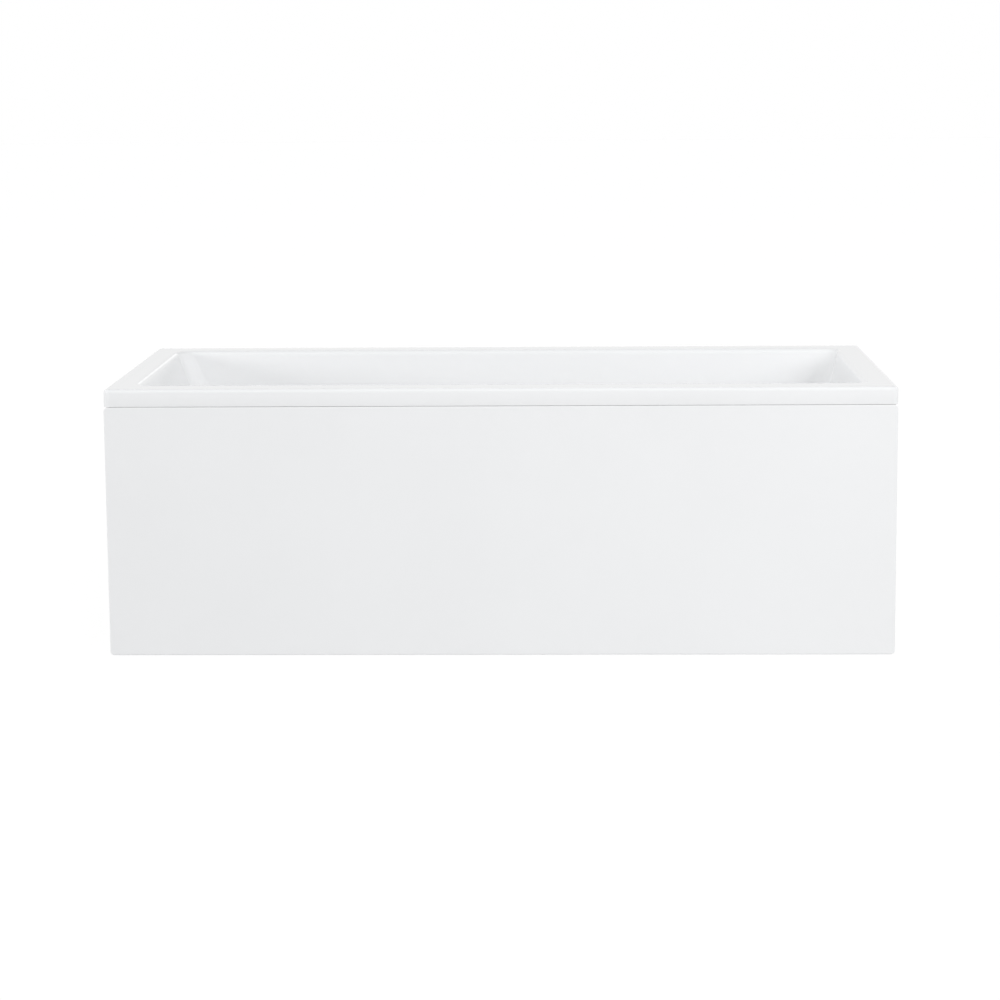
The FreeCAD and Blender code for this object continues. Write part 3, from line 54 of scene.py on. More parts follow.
ON_AXIS = 1e-6  # millimetres from a turned piece's axis
SAME_POINT = 1e-4  # millimetres between points that become one
SIGNS = ((1, 1), (-1, 1), (-1, -1), (1, -1))  # of the four corners, once round
PATTERN_LOW, PATTERN_HIGH = 0.3, 0.7  # where most of a pattern's strength lies
ROUNDING_SHARE = 0.49  # of a straight side, so that the roundings at its two ends never meet
SOFT_ANGLE = 30  # faces of the bath's moulded pieces that meet at less than this many degrees look smooth
LEGS = ("front_head", "back_head", "front_foot", "back_foot", "centre")

Socket = bpy.types.NodeSocket
Ring = list[Vector]
Triple = tuple[float, float, float]
Stops = Sequence[tuple[float, Sequence[float]]]
Feeds = dict[int | str, object]


class Body(str, Enum):
    """The moving bodies that a piece can ride on."""

    BATH = "bath"
    PANEL = "panel"
    PLUG = "plug_unit"
    KNOB = "knob"


class Grain(Enum):
    """The way the grain of a wooden strip runs."""

    ALONG_X = (3.0, 60.0, 60.0)
    ALONG_Y = (60.0, 3.0, 60.0)


class Mixing(Enum):
    """How one pattern is laid over another."""

    BLENDED = "MIX"
    MULTIPLIED = "MULTIPLY"
    LIGHTEST = "LIGHTEN"


class Carving(Enum):
    """What a solid does to a piece."""

    CUT = "DIFFERENCE"
    ADD = "UNION"


# ------------------------------------------------------------------ finishes


class Paint:
    """A material under construction, with its nodes and its main shader."""

    def __init__(self, name: str) -> None:
        """Starts an empty material.

        Args:
            name: The material's name.
        """
        self.material = bpy.data.materials.new(name)
        self.material.use_nodes = True
        self.tree = self.material.node_tree
        self.shader = self.tree.nodes["Principled BSDF"]
        self.place = self.tree.nodes.new("ShaderNodeTexCoord").outputs["Object"]

    def set(self, **values: object) -> None:
        """Sets plain values on the shader's sockets, with underscores for spaces."""
        for name, value in values.items():
            self.shader.inputs[name.replace("_", " ")].default_value = value

    def mapped(self, scale: Sequence[float], turn: Sequence[float] = (0, 0, 0)) -> Socket:
        """Object coordinates, turned and stretched.

        Args:
            scale: Scale on each axis.
            turn: Turn about each axis, in degrees.

        Returns:
            The vector socket.
        """
        node = self.tree.nodes.new("ShaderNodeMapping")
        node.inputs["Scale"].default_value = scale
        node.inputs["Rotation"].default_value = [math.radians(angle) for angle in turn]
        self.tree.links.new(self.place, node.inputs["Vector"])
        return node.outputs["Vector"]

    def noise(
        self, scale: float, detail: float = 3, rough: float = 0.5, vector: Optional[Socket] = None
    ) -> Socket:
        """A cloudy pattern.

        Args:
            scale: Its scale.
            detail: How many finer layers it has.
            rough: How strong the finer layers are.
            vector: Where it is read, if not at the plain object coordinates.

        Returns:
            The pattern's strength.
        """
        node = self.tree.nodes.new("ShaderNodeTexNoise")
        node.inputs["Scale"].default_value = scale
        node.inputs["Detail"].default_value = detail
        node.inputs["Roughness"].default_value = rough
        self.tree.links.new(vector or self.place, node.inputs["Vector"])
        return node.outputs["Fac"]

    def cells(self, scale: float, output: str, vector: Socket, feature: str = "F1") -> Socket:
        """A pattern of cells.

        Args:
            scale: Its scale.
            output: Which of its outputs is wanted.
            vector: Where it is read.
            feature: What it measures.

        Returns:
            The wanted output.
        """
        node = self.tree.nodes.new("ShaderNodeTexVoronoi")
        node.feature = feature
        node.inputs["Scale"].default_value = scale
        self.tree.links.new(vector, node.inputs["Vector"])
        return node.outputs[output]

    def span(self, source: Socket, low: float, high: float) -> Socket:
        """A pattern, spread from its usual range to another one.

        Args:
            source: The pattern.
            low: What its low places become.
            high: What its high places become.

        Returns:
            The spread pattern.
        """
        node = self.tree.nodes.new("ShaderNodeMapRange")
        ends = {"From Min": PATTERN_LOW, "From Max": PATTERN_HIGH, "To Min": low, "To Max": high}
        for name, value in ends.items():
            node.inputs[name].default_value = value
        self.tree.links.new(source, node.inputs["Value"])
        return node.outputs["Result"]

    def shades(self, source: Socket, stops: Stops) -> Socket:
        """Colours along a source.

        Args:
            source: What drives the colours.
            stops: Places from 0 to 1, each with its linear colour.

        Returns:
            The colour socket.
        """
        node = self.tree.nodes.new("ShaderNodeValToRGB")
        ramp = node.color_ramp
        while len(ramp.elements) < len(stops):
            ramp.elements.new(0.5)
        for element, (at, colour) in zip(ramp.elements, stops):
            element.position = at
            element.color = (*colour, 1)
        self.tree.links.new(source, node.inputs["Fac"])
        return node.outputs["Color"]

    def blend(self, how: Mixing, share: float, first: Socket, second: Socket) -> Socket:
        """Two colours or strengths, mixed.

        Args:
            how: The way of mixing.
            share: How far the second one counts.
            first: The lower one.
            second: The upper one.

        Returns:
            The mixed colour.
        """
        factor, lower, upper, result = 0, 6, 7, 2  # the sockets of a mix of colours
        node = self.tree.nodes.new("ShaderNodeMix")
        node.data_type, node.blend_type = "RGBA", how.value
        node.inputs[factor].default_value = share
        self.tree.links.new(first, node.inputs[lower])
        self.tree.links.new(second, node.inputs[upper])
        return node.outputs[result]

    def finish(
        self, colour: Socket, rough: Socket, relief: Iterable[tuple[Socket, float]]
    ) -> bpy.types.Material:
        """Links the patterns to the shader.

        Args:
            colour: The colour pattern.
            rough: The roughness pattern.
            relief: Height patterns, each with its depth in millimetres.

        Returns:
            The finished material.
        """
        self.tree.links.new(colour, self.shader.inputs["Base Color"])
        self.tree.links.new(rough, self.shader.inputs["Roughness"])
        normal = None
        for height, depth in relief:
            bump = self.tree.nodes.new("ShaderNodeBump")
            bump.inputs["Distance"].default_value = depth * MM
            self.tree.links.new(height, bump.inputs["Height"])
            if normal:
                self.tree.links.new(normal, bump.inputs["Normal"])
            normal = bump.outputs["Normal"]
        self.tree.links.new(normal, self.shader.inputs["Normal"])
        return self.material


def tints(colour: Sequence[float], spread: float) -> Stops:
    """Stops from a little darker to a little lighter than a colour.

    Args:
        colour: The linear colour between them.
        spread: The share by which they differ from it.

    Returns:
        The two stops.
    """
    darker = tuple(value * (1 - spread) for value in colour)
    lighter = tuple(min(1.0, value * (1 + spread)) for value in colour)
    return [(PATTERN_LOW, darker), (PATTERN_HIGH, lighter)]


@dataclass(frozen=True)
class Acrylic:
    """High-gloss white acrylic sheet: deep shine, faint unevenness and hairline cleaning marks."""

    name: str = "gloss_acrylic"
    colour: Triple = (0.86, 0.866, 0.872)
    spread: float = 0.008
    gloss: float = 0.05
    mark_stretch: Triple = (30, 900, 30)
    mark_turn: Triple = (0, 0, 34)
    ripples: tuple[tuple[float, float], ...] = ((38, 0.0008), (7, 0.003))  # scale, depth in millimetres

    def make(self) -> bpy.types.Material:
        """Makes the finish.

        Returns:
            The material.
        """
        paint = Paint(self.name)
        paint.set(IOR=1.49, Coat_Weight=0.35, Coat_Roughness=0.03)
        colour = paint.shades(paint.noise(scale=2.5, detail=4), tints(self.colour, self.spread))
        along = paint.mapped(self.mark_stretch, self.mark_turn)
        marks = paint.noise(scale=9, detail=5, rough=0.6, vector=along)
        rough = paint.span(marks, low=self.gloss * 0.7, high=self.gloss * 1.8)
        relief = [(paint.noise(scale, detail=1), depth) for scale, depth in self.ripples]
        return paint.finish(colour, rough, relief)


@dataclass(frozen=True)
class GlassFibre:
    """Chopped strands set in resin, sprayed on by hand."""

    name: str = "chopped_glass"
    resin: Triple = (0.56, 0.54, 0.46)
    strand: Triple = (0.80, 0.79, 0.74)
    stain: Triple = (0.9, 0.89, 0.86)
    stretch: Triple = (1, 1.9, 1.3)
    layers: tuple[tuple[float, Triple], ...] = (  # scale and turn of each layer of strands
        (46, (12, 20, 33)),
        (61, (70, 41, 112)),
        (53, (131, 77, 61)),
        (74, (24, 118, 155)),
    )
    strand_edge: tuple[float, float] = (0.012, 0.05)
    thin_patch: float = 0.25
    strand_depth: float = 0.5
    lump_depth: float = 2.2

    def make(self) -> bpy.types.Material:
        """Makes the finish.

        Returns:
            The material.
        """
        paint = Paint(self.name)
        inner, outer = self.strand_edge
        layers = []
        for scale, turn in self.layers:
            lines = paint.cells(scale, "Distance", paint.mapped(self.stretch, turn), "DISTANCE_TO_EDGE")
            layers.append(paint.shades(lines, [(inner, (1, 1, 1)), (outer, (0, 0, 0))]))
        strands = layers[0]
        for layer in layers[1:]:
            strands = paint.blend(Mixing.LIGHTEST, share=1, first=strands, second=layer)
        cover = [(0.38, (self.thin_patch,) * 3), (0.62, (1, 1, 1))]
        patches = paint.shades(paint.noise(scale=24, detail=3), cover)
        strands = paint.blend(Mixing.MULTIPLIED, share=1, first=strands, second=patches)
        colour = paint.shades(strands, [(0.0, self.resin), (0.9, self.strand)])
        stains = paint.shades(paint.noise(scale=5, detail=4), tints(self.stain, spread=0.1))
        colour = paint.blend(Mixing.MULTIPLIED, share=0.6, first=colour, second=stains)
        rough = paint.span(paint.noise(scale=70, detail=3), low=0.32, high=0.6)
        lumps = paint.noise(scale=30, detail=4)
        return paint.finish(colour, rough, [(strands, self.strand_depth), (lumps, self.lump_depth)])


@dataclass(frozen=True)
class Chipboard:
    """Pressed wood chips."""

    name: str = "chipboard"
    stops: Stops = ((0.15, (0.36, 0.22, 0.10)), (0.5, (0.56, 0.38, 0.19)), (0.9, (0.72, 0.54, 0.31)))
    coarse_depth: float = 0.12
    fine_depth: float = 0.08

    def make(self) -> bpy.types.Material:
        """Makes the finish.

        Returns:
            The material.
        """
        paint = Paint(self.name)
        chips = paint.cells(150, "Color", paint.mapped(scale=(1, 2.2, 1.6), turn=(8, 3, 25)))
        fine = paint.cells(420, "Color", paint.mapped(scale=(2.4, 1, 1), turn=(0, 11, -31)))
        coarse_shades, fine_shades = paint.shades(chips, self.stops), paint.shades(fine, self.stops)
        colour = paint.blend(Mixing.BLENDED, share=0.4, first=coarse_shades, second=fine_shades)
        rough = paint.span(chips, low=0.7, high=0.9)
        return paint.finish(colour, rough, [(chips, self.coarse_depth), (fine, self.fine_depth)])


@dataclass(frozen=True)
class Softwood:
    """Sawn pale timber with growth lines along the strip."""

    name: str
    grain: Grain
    stops: Stops = ((0.34, (0.45, 0.27, 0.12)), (0.5, (0.63, 0.43, 0.22)), (0.66, (0.74, 0.55, 0.32)))
    pore_shade: Triple = (0.8, 0.8, 0.8)
    line_depth: float = 0.15
    pore_depth: float = 0.1

    def make(self) -> bpy.types.Material:
        """Makes the finish.

        Returns:
            The material.
        """
        paint = Paint(self.name)
        lines = paint.noise(scale=3.2, detail=4, rough=0.62, vector=paint.mapped(self.grain.value))
        pores = paint.noise(scale=18, detail=2, rough=0.7, vector=paint.mapped(self.grain.value))
        darkening = paint.shades(pores, tints(self.pore_shade, spread=0.2))
        growth = paint.shades(lines, self.stops)
        colour = paint.blend(Mixing.MULTIPLIED, share=0.35, first=growth, second=darkening)
        rough = paint.span(pores, low=0.62, high=0.85)
        return paint.finish(colour, rough, [(lines, self.line_depth), (pores, self.pore_depth)])


@dataclass(frozen=True)
class Steel:
    """Zinc-plated steel with spangle and handling marks."""

    name: str = "zinc_steel"
    colour: Triple = (0.45, 0.46, 0.48)
    gloss: float = 0.3
    spread: float = 0.12
    gloss_range: float = 0.18
    mark_depth: float = 0.012

    def make(self) -> bpy.types.Material:
        """Makes the finish.

        Returns:
            The material.
        """
        paint = Paint(self.name)
        paint.set(Metallic=1.0)
        spangle = paint.cells(160, "Color", paint.mapped(scale=(1, 1.4, 1)))
        mottle = paint.blend(Mixing.BLENDED, share=0.6, first=spangle, second=paint.noise(scale=60, detail=4))
        colour = paint.shades(mottle, tints(self.colour, self.spread))
        marks = paint.noise(scale=90, detail=4, rough=0.65)
        rough = paint.span(marks, self.gloss, self.gloss + self.gloss_range)
        return paint.finish(colour, rough, [(paint.noise(scale=700, detail=2), self.mark_depth)])


@dataclass(frozen=True)
class Chrome:
    """Polished chrome plate with faint water marks."""

    name: str = "chrome_plate"
    colour: Triple = (0.62, 0.63, 0.65)
    spread: float = 0.03
    gloss: tuple[float, float] = (0.05, 0.13)
    ripple_depth: float = 0.01

    def make(self) -> bpy.types.Material:
        """Makes the finish.

        Returns:
            The material.
        """
        paint = Paint(self.name)
        paint.set(Metallic=1.0)
        colour = paint.shades(paint.noise(scale=40, detail=3), tints(self.colour, self.spread))
        rough = paint.span(paint.noise(scale=120, detail=4), *self.gloss)
        return paint.finish(colour, rough, [(paint.noise(scale=50, detail=1), self.ripple_depth)])


@dataclass(frozen=True)
class Moulded:
    """Moulded plastic or rubber with a fine grained skin."""

    name: str
    colour: Triple
    gloss: float = 0.38
    grain_depth: float = 0.02
    sink_depth: float = 0.05

    def make(self) -> bpy.types.Material:
        """Makes the finish.

        Returns:
            The material.
        """
        paint = Paint(self.name)
        colour = paint.shades(paint.noise(scale=30, detail=4), tints(self.colour, spread=0.06))
        marks = paint.noise(scale=260, detail=3)
        rough = paint.span(marks, low=self.gloss - 0.06, high=self.gloss + 0.12)
        grain, sinks = paint.noise(scale=1500, detail=1), paint.noise(scale=25, detail=2)
        return paint.finish(colour, rough, [(grain, self.grain_depth), (sinks, self.sink_depth)])


class Finish(Enum):
    """The finishes of the bath's pieces, each made once."""

    ACRYLIC = Acrylic()
    GLASS_FIBRE = GlassFibre()
    CHIPBOARD = Chipboard()
    SOFTWOOD_X = Softwood("softwood_lengthwise", Grain.ALONG_X)
    SOFTWOOD_Y = Softwood("softwood_crosswise", Grain.ALONG_Y)
    STEEL = Steel()
    BRIGHT_STEEL = Steel("bright_thread", (0.52, 0.53, 0.55), 0.22)
    CHROME = Chrome()
    BLACK = Moulded("black_plastic", (0.022, 0.022, 0.024))
    WHITE = Moulded("white_plastic", (0.74, 0.74, 0.725), 0.32)
    HOSE = Moulded("grey_hose", (0.28, 0.29, 0.30), 0.42)
    RUBBER = Moulded("black_rubber", (0.016, 0.016, 0.016), 0.62, 0.05)

    def material(self) -> bpy.types.Material:
        """The finish's material, made the first time it is asked for."""
        return bpy.data.materials.get(self.value.name) or self.value.make()


# ------------------------------------------------------------------ making pieces


def dress(node: str, finish: Finish) -> None:
    """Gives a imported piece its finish.

    Args:
        node: The piece's name.
        finish: The finish.
    """
    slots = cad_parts[node].material_slots
    for slot in slots:
        slot.link = "OBJECT"
        slot.material = finish.material()
    if not slots:
        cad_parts[node].data.materials.append(finish.material())


def smooth(data: bpy.types.Mesh, angle: float) -> None:
    """Shades a mesh smooth, with a crisp edge where faces meet at more than an angle in degrees."""
    data.shade_smooth()
    data.set_sharp_from_angle(angle=math.radians(angle))


def piece_from(mesh: bmesh.types.BMesh, name: str, finish: Finish, angle: float = 35) -> bpy.types.Object:
    """A scene object from a mesh in millimetres.

    Args:
        mesh: The mesh, which is used up.
        name: The piece's name.
        finish: Its finish.
        angle: Faces that meet at more than this many degrees keep a crisp edge.

    Returns:
        The object, at the origin.
    """
    bmesh.ops.scale(mesh, vec=(MM, MM, MM), verts=mesh.verts)
    data = bpy.data.meshes.new(name)
    mesh.to_mesh(data)
    mesh.free()
    smooth(data, angle)
    data.materials.append(finish.material())
    made = bpy.data.objects.new(name, data)
    bpy.context.scene.collection.objects.link(made)
    return made


def block_from(size: Triple, middle: Triple) -> bmesh.types.BMesh:
    """A plain block.

    Args:
        size: Its length on each axis.
        middle: Where its middle is.

    Returns:
        The mesh.
    """
    mesh = bmesh.new()
    bmesh.ops.create_cube(mesh, size=1, matrix=Matrix.Translation(middle) @ Matrix.Diagonal((*size, 1)))
    return mesh


def settle(made: bpy.types.Object, body: str, node: str) -> None:
    """Puts a finished piece on its body in place of a packed one.

    Args:
        made: The piece.
        body: The body that it rides on.
        node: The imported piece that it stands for.
    """
    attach(made, body)
    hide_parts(node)
    LOG.info("%s stands for %s on %s, %d faces", made.name, node, body, len(made.data.polygons))


def join_rows(mesh: bmesh.types.BMesh, rows: Sequence[Sequence[bmesh.types.BMVert]]) -> None:
    """Fills the faces between rows of points.

    Args:
        mesh: The mesh that the points are in.
        rows: Closed rows of equal counts. A row may be one point many times over.
    """
    for lower, upper in zip(rows, rows[1:]):
        for n in range(len(lower)):
            m = (n + 1) % len(lower)
            corners = list(dict.fromkeys((lower[n], lower[m], upper[m], upper[n])))
            if len(corners) > 2:
                mesh.faces.new(corners)


def skin(rings: Sequence[Ring]) -> bmesh.types.BMesh:
    """A closed surface over rings of equal counts of points.

    Args:
        rings: The rings, in order along the surface. The first and the last one are filled.

    Returns:
        The mesh, with its faces pointing outwards.
    """
    mesh = bmesh.new()
    rows = [[mesh.verts.new(point) for point in ring] for ring in rings]
    join_rows(mesh, rows)
    mesh.faces.new(rows[0])
    mesh.faces.new(rows[-1])
    bmesh.ops.remove_doubles(mesh, verts=mesh.verts, dist=SAME_POINT)
    bmesh.ops.recalc_face_normals(mesh, faces=mesh.faces)
    return mesh


def turned(profile: Sequence[tuple[float, float]], steps: int) -> bmesh.types.BMesh:
    """A body of revolution about Z.

    Args:
        profile: Its closed outline, as radius and height.
        steps: How many faces it has round its axis.

    Returns:
        The mesh, with its faces pointing outwards.
    """
    mesh = bmesh.new()
    rows = []
    for radius, height in profile:
        if radius < ON_AXIS:
            rows.append([mesh.verts.new((0, 0, height))] * steps)
            continue
        angles = (math.tau * n / steps for n in range(steps))
        rows.append([mesh.verts.new((radius * math.cos(a), radius * math.sin(a), height)) for a in angles])
    join_rows(mesh, rows + rows[:1])
    bmesh.ops.recalc_face_normals(mesh, faces=mesh.faces)
    return mesh


def softened(corners: Sequence[Triple], steps: int = 5) -> list[tuple[float, float]]:
    """An open outline with its inner corners rounded.

    Args:
        corners: Its corners, as radius, height and rounding.
        steps: How many pieces each rounding has.

    Returns:
        Its points, as radius and height.
    """
    points = [corners[0][:2]]
    for before, corner, after in zip(corners, corners[1:], corners[2:]):
        here = Vector(corner[:2])
        back, onward = Vector(before[:2]) - here, Vector(after[:2]) - here
        if corner[2] <= 0:
            points.append(corner[:2])
            continue
        reach = min(corner[2], back.length * ROUNDING_SHARE, onward.length * ROUNDING_SHARE)
        start, end = here + back.normalized() * reach, here + onward.normalized() * reach
        for n in range(steps + 1):
            t = n / steps
            point = start * (1 - t) ** 2 + here * 2 * t * (1 - t) + end * t**2
            points.append((point.x, point.y))
    points.append(corners[-1][:2])
    return points


def quarter_turns(steps: int) -> list[float]:
    """Even turns from nought to a quarter of a circle."""
    return [QUARTER * step / steps for step in range(steps + 1)]


def corner_turns(corner: int, steps: int) -> list[float]:
    """The turns round one of four corners, in the order that carries on from the last corner."""
    turns = quarter_turns(steps)
    return turns if corner % 2 == 0 else [QUARTER - turn for turn in turns]


def rounded_outline(half_x: float, half_y: float, radius: float, steps: int) -> list[tuple[float, float]]:
    """A rectangle with rounded corners about the middle.

    Args:
        half_x: Half its length.
        half_y: Half its height.
        radius: The corners' radius.
        steps: How many pieces each corner has.

    Returns:
        Its points, once round.
    """
    points = []
    for corner, (sx, sy) in enumerate(SIGNS):
        for turn in corner_turns(corner, steps):
            x = half_x - radius * (1 - math.cos(turn))
            y = half_y - radius * (1 - math.sin(turn))
            points.append((sx * x, sy * y))
    return points


def finished_mesh(made: bpy.types.Object) -> bpy.types.Mesh:
    """The mesh that an object's modifiers give.

    Args:
        made: The object, which loses its modifiers.

    Returns:
        The plain mesh.
    """
    bpy.context.view_layer.update()
    seen = made.evaluated_get(bpy.context.evaluated_depsgraph_get())
    data = bpy.data.meshes.new_from_object(seen)
    made.modifiers.clear()
    return data


def carve(made: bpy.types.Object, tools: Sequence[bpy.types.Object], how: Carving = Carving.CUT) -> None:
    """Cuts solids out of a piece, or adds them to it, and clears them away.

    Args:
        made: The piece.
        tools: The solids.
        how: What the solids do to it.
    """
    for tool in tools:
        cut = made.modifiers.new("cut", "BOOLEAN")
        cut.operation, cut.solver, cut.object = how.value, "EXACT", tool
    made.data = finished_mesh(made)
    for tool in tools:
        bpy.data.objects.remove(tool)


def rod_between(start: Vector, end: Vector, radius: float, sides: int = 64) -> bpy.types.Object:
    """A round cutter between two points, in millimetres.

    Args:
        start: The middle of one end.
        end: The middle of the other end.
        radius: Its radius.
        sides: How many faces it has round its axis.

    Returns:
        The cutter.
    """
    mesh = bmesh.new()
    axis = end - start
    stand = Matrix.Translation((start + end) / 2) @ axis.to_track_quat("Z", "Y").to_matrix().to_4x4()
    size = {"radius1": radius, "radius2": radius, "depth": axis.length}
    bmesh.ops.create_cone(mesh, cap_ends=True, segments=sides, matrix=stand, **size)
    return piece_from(mesh, "cutter", Finish.STEEL)


# ------------------------------------------------------------------ bath moulding


class Walls(NamedTuple):
    """One number for each wall of the basin."""

    foot: float
    back: float
    head: float
    front: float


# The end wall and the side wall at each corner, once round.
BASIN_CORNERS = (("foot", "back"), ("head", "back"), ("head", "front"), ("foot", "front"))


@dataclass
class BathMoulding:
    """The moulded bath: deck, turned-down skirt and basin, in millimetres."""

    half_length: float = 850
    half_width: float = 375
    height: float = 585
    wall: float = 5
    skirt_foot: float = 547
    rim_edge: float = 8
    rim_corner: float = 14
    skirt_edge: float = 1
    depth: float = 400
    mouth: Walls = Walls(788, 307, 788, 305)  # from the bath's middle to each wall's top
    slope: Walls = Walls(12, 7, 22, 7)  # degrees
    mouth_corner: float = 34
    floor_corner: float = 90
    lip: float = 12  # radius of the rounding at the mouth
    floor_edge: float = 70
    waste: tuple[float, float] = (560, 1)  # where the waste's axis is
    waste_hole: float = 27  # radius
    overflow_drop: float = 88  # of its axis below the deck
    overflow_hole: float = 24  # radius
    cutter_reach: float = 20
    edge_margin: float = 1.5  # from a rounding to the ring that keeps the flat face beside it flat
    floor_margin: float = 2
    corner_steps: int = 20
    lip_steps: int = 12
    floor_steps: int = 20
    wall_steps: int = 10
    rim_steps: int = 10
    skirt_steps: int = 4

    def plain_ring(self, inset: float, radius: float, level: float) -> Ring:
        """A level ring round the rim, inset from its edge, with rounded corners of a radius."""
        half_x, half_y = self.half_length - inset, self.half_width - inset
        return [Vector((x, y, level)) for x, y in rounded_outline(half_x, half_y, radius, self.corner_steps)]

    def basin_ring(self, drop: Walls, out: Walls, offset: float) -> Ring:
        """A ring of the basin.

        Args:
            drop: How far below the deck the ring is at each wall.
            out: How far outside the plain sloping wall it is, at each wall.
            offset: How far the whole surface is grown.

        Returns:
            The ring, blended from wall to wall round the corners.
        """
        ring = []
        for corner, (end, side) in enumerate(BASIN_CORNERS):
            sx, sy = SIGNS[corner]
            for turn in corner_turns(corner, self.corner_steps):
                share = math.cos(turn) ** 2
                fall = share * getattr(drop, end) + (1 - share) * getattr(drop, side)
                widening = (self.floor_corner - self.mouth_corner) * fall / self.depth
                radius = self.mouth_corner + widening + offset
                reach_x, reach_y = radius + getattr(out, end), radius + getattr(out, side)
                x = self.wall_line(end, fall, offset) - radius + reach_x * math.cos(turn)
                y = self.wall_line(side, fall, offset) - radius + reach_y * math.sin(turn)
                ring.append(Vector((sx * x, sy * y, self.height - fall)))
        return ring

    def wall_line(self, wall: str, drop: float, offset: float) -> float:
        """How far from the middle a wall's plain slope is at a drop below the deck."""
        slope = math.radians(getattr(self.slope, wall))
        return getattr(self.mouth, wall) - drop * math.tan(slope) + offset / math.cos(slope)

    def edge_ring(self, share: float, radius: float, start: float, offset: float, at_floor: bool) -> Ring:
        """A ring of the rounding between the deck and the walls, or the walls and the floor.

        Args:
            share: 0 on the flat face, 1 on the wall.
            radius: The rounding's radius.
            start: The flat face's drop below the deck.
            offset: How far the whole surface is grown.
            at_floor: Whether it is the floor's rounding.

        Returns:
            The ring.
        """
        drops, outs = [], []
        for slope in self.slope:
            lean = math.radians(slope)
            full = QUARTER - lean
            turn = share * full
            reach = radius * math.tan(full / 2)
            rise = radius * (1 - math.cos(turn))
            away = reach - radius * math.sin(turn)
            drops.append(start - rise if at_floor else start + rise)
            outs.append(-away - rise * math.tan(lean) if at_floor else away + rise * math.tan(lean))
        return self.basin_ring(Walls(*drops), Walls(*outs), offset)

    def wall_rows(self, upper: Ring, lower: Ring) -> list[Ring]:
        """Rings between two rings of one ruled wall."""
        shares = [n / self.wall_steps for n in range(1, self.wall_steps)]
        return [[a.lerp(b, share) for a, b in zip(upper, lower)] for share in shares]

    def basin_side(self, offset: float, lip: float, floor_edge: float) -> list[Ring]:
        """One face of the basin, from the deck down to the floor.

        Args:
            offset: How far the face is grown from the inner one.
            lip: Radius of its rounding at the deck.
            floor_edge: Radius of its rounding at the floor.

        Returns:
            All its rings.
        """
        lips = [n / self.lip_steps for n in range(self.lip_steps + 1)]
        lip_rows = [self.edge_ring(share, lip, offset, offset, False) for share in lips]
        floors = [1 - n / self.floor_steps for n in range(self.floor_steps + 1)]
        floor_level = self.depth + offset
        floor_rows = [self.edge_ring(share, floor_edge, floor_level, offset, True) for share in floors]
        first, last = lip_rows[0], floor_rows[-1]
        middle = Vector((sum(p.x for p in first) / len(first), sum(p.y for p in first) / len(first), 0))
        outer = [p + (p - middle).to_2d().to_3d().normalized() * self.edge_margin for p in first]
        inner = [p + (middle - p).to_2d().to_3d().normalized() * self.floor_margin for p in last]
        return [outer, *lip_rows, *self.wall_rows(lip_rows[-1], floor_rows[0]), *floor_rows, inner]

    def rim_rows(self) -> list[Ring]:
        """The skirt and the rim's edge, from under the deck out and up on to it.

        Returns:
            All their rings.
        """
        under, corner, margin = self.height - self.wall, self.rim_corner, self.edge_margin
        inner = corner - self.wall
        rows = [
            self.plain_ring(self.wall + margin, inner - margin, under),
            self.plain_ring(self.wall, inner, under),
            self.plain_ring(self.wall, inner, self.skirt_foot),
        ]
        for turn in quarter_turns(self.skirt_steps):
            inset = self.skirt_edge * (1 - math.sin(turn))
            level = self.skirt_foot + self.skirt_edge * (1 - math.cos(turn))
            rows.append(self.plain_ring(inset, corner - inset, level))
        for turn in quarter_turns(self.rim_steps):
            inset = self.rim_edge * (1 - math.cos(turn))
            level = self.height - self.rim_edge * (1 - math.sin(turn))
            rows.append(self.plain_ring(inset, corner - inset, level))
        rows.append(self.plain_ring(self.rim_edge + margin, corner - self.rim_edge - margin, self.height))
        return rows

    def build(self) -> None:
        """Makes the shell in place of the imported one, with its two holes."""
        outside = self.basin_side(self.wall, self.lip - self.wall, self.floor_edge + self.wall)
        inside = self.basin_side(0, self.lip, self.floor_edge)
        rings = outside[::-1] + self.rim_rows() + inside
        shell = piece_from(skin(rings), "bath_moulding", Finish.ACRYLIC, SOFT_ANGLE)
        reach = Vector((0, 0, self.cutter_reach))
        seat = Vector((*self.waste, self.height - self.depth))
        waste = rod_between(seat - reach, seat + reach, self.waste_hole)
        middle, out = self.overflow_axis()
        reach = out * self.cutter_reach
        overflow = rod_between(middle - reach, middle + reach, self.overflow_hole)
        carve(shell, [waste, overflow])
        smooth(shell.data, SOFT_ANGLE)
        settle(shell, Body.BATH.value, "bath_shell")
        dress("shell_reinforcement", Finish.GLASS_FIBRE)

    def overflow_axis(self) -> tuple[Vector, Vector]:
        """The overflow's axis through the foot wall.

        Returns:
            Its place on the wall's inner face, and its way out of the basin.
        """
        lean, drop = math.radians(self.slope.foot), self.overflow_drop
        middle = Vector((self.wall_line("foot", drop, 0), self.waste[1], self.height - drop))
        return middle, Vector((math.cos(lean), 0, -math.sin(lean)))


# ------------------------------------------------------------------ front panel


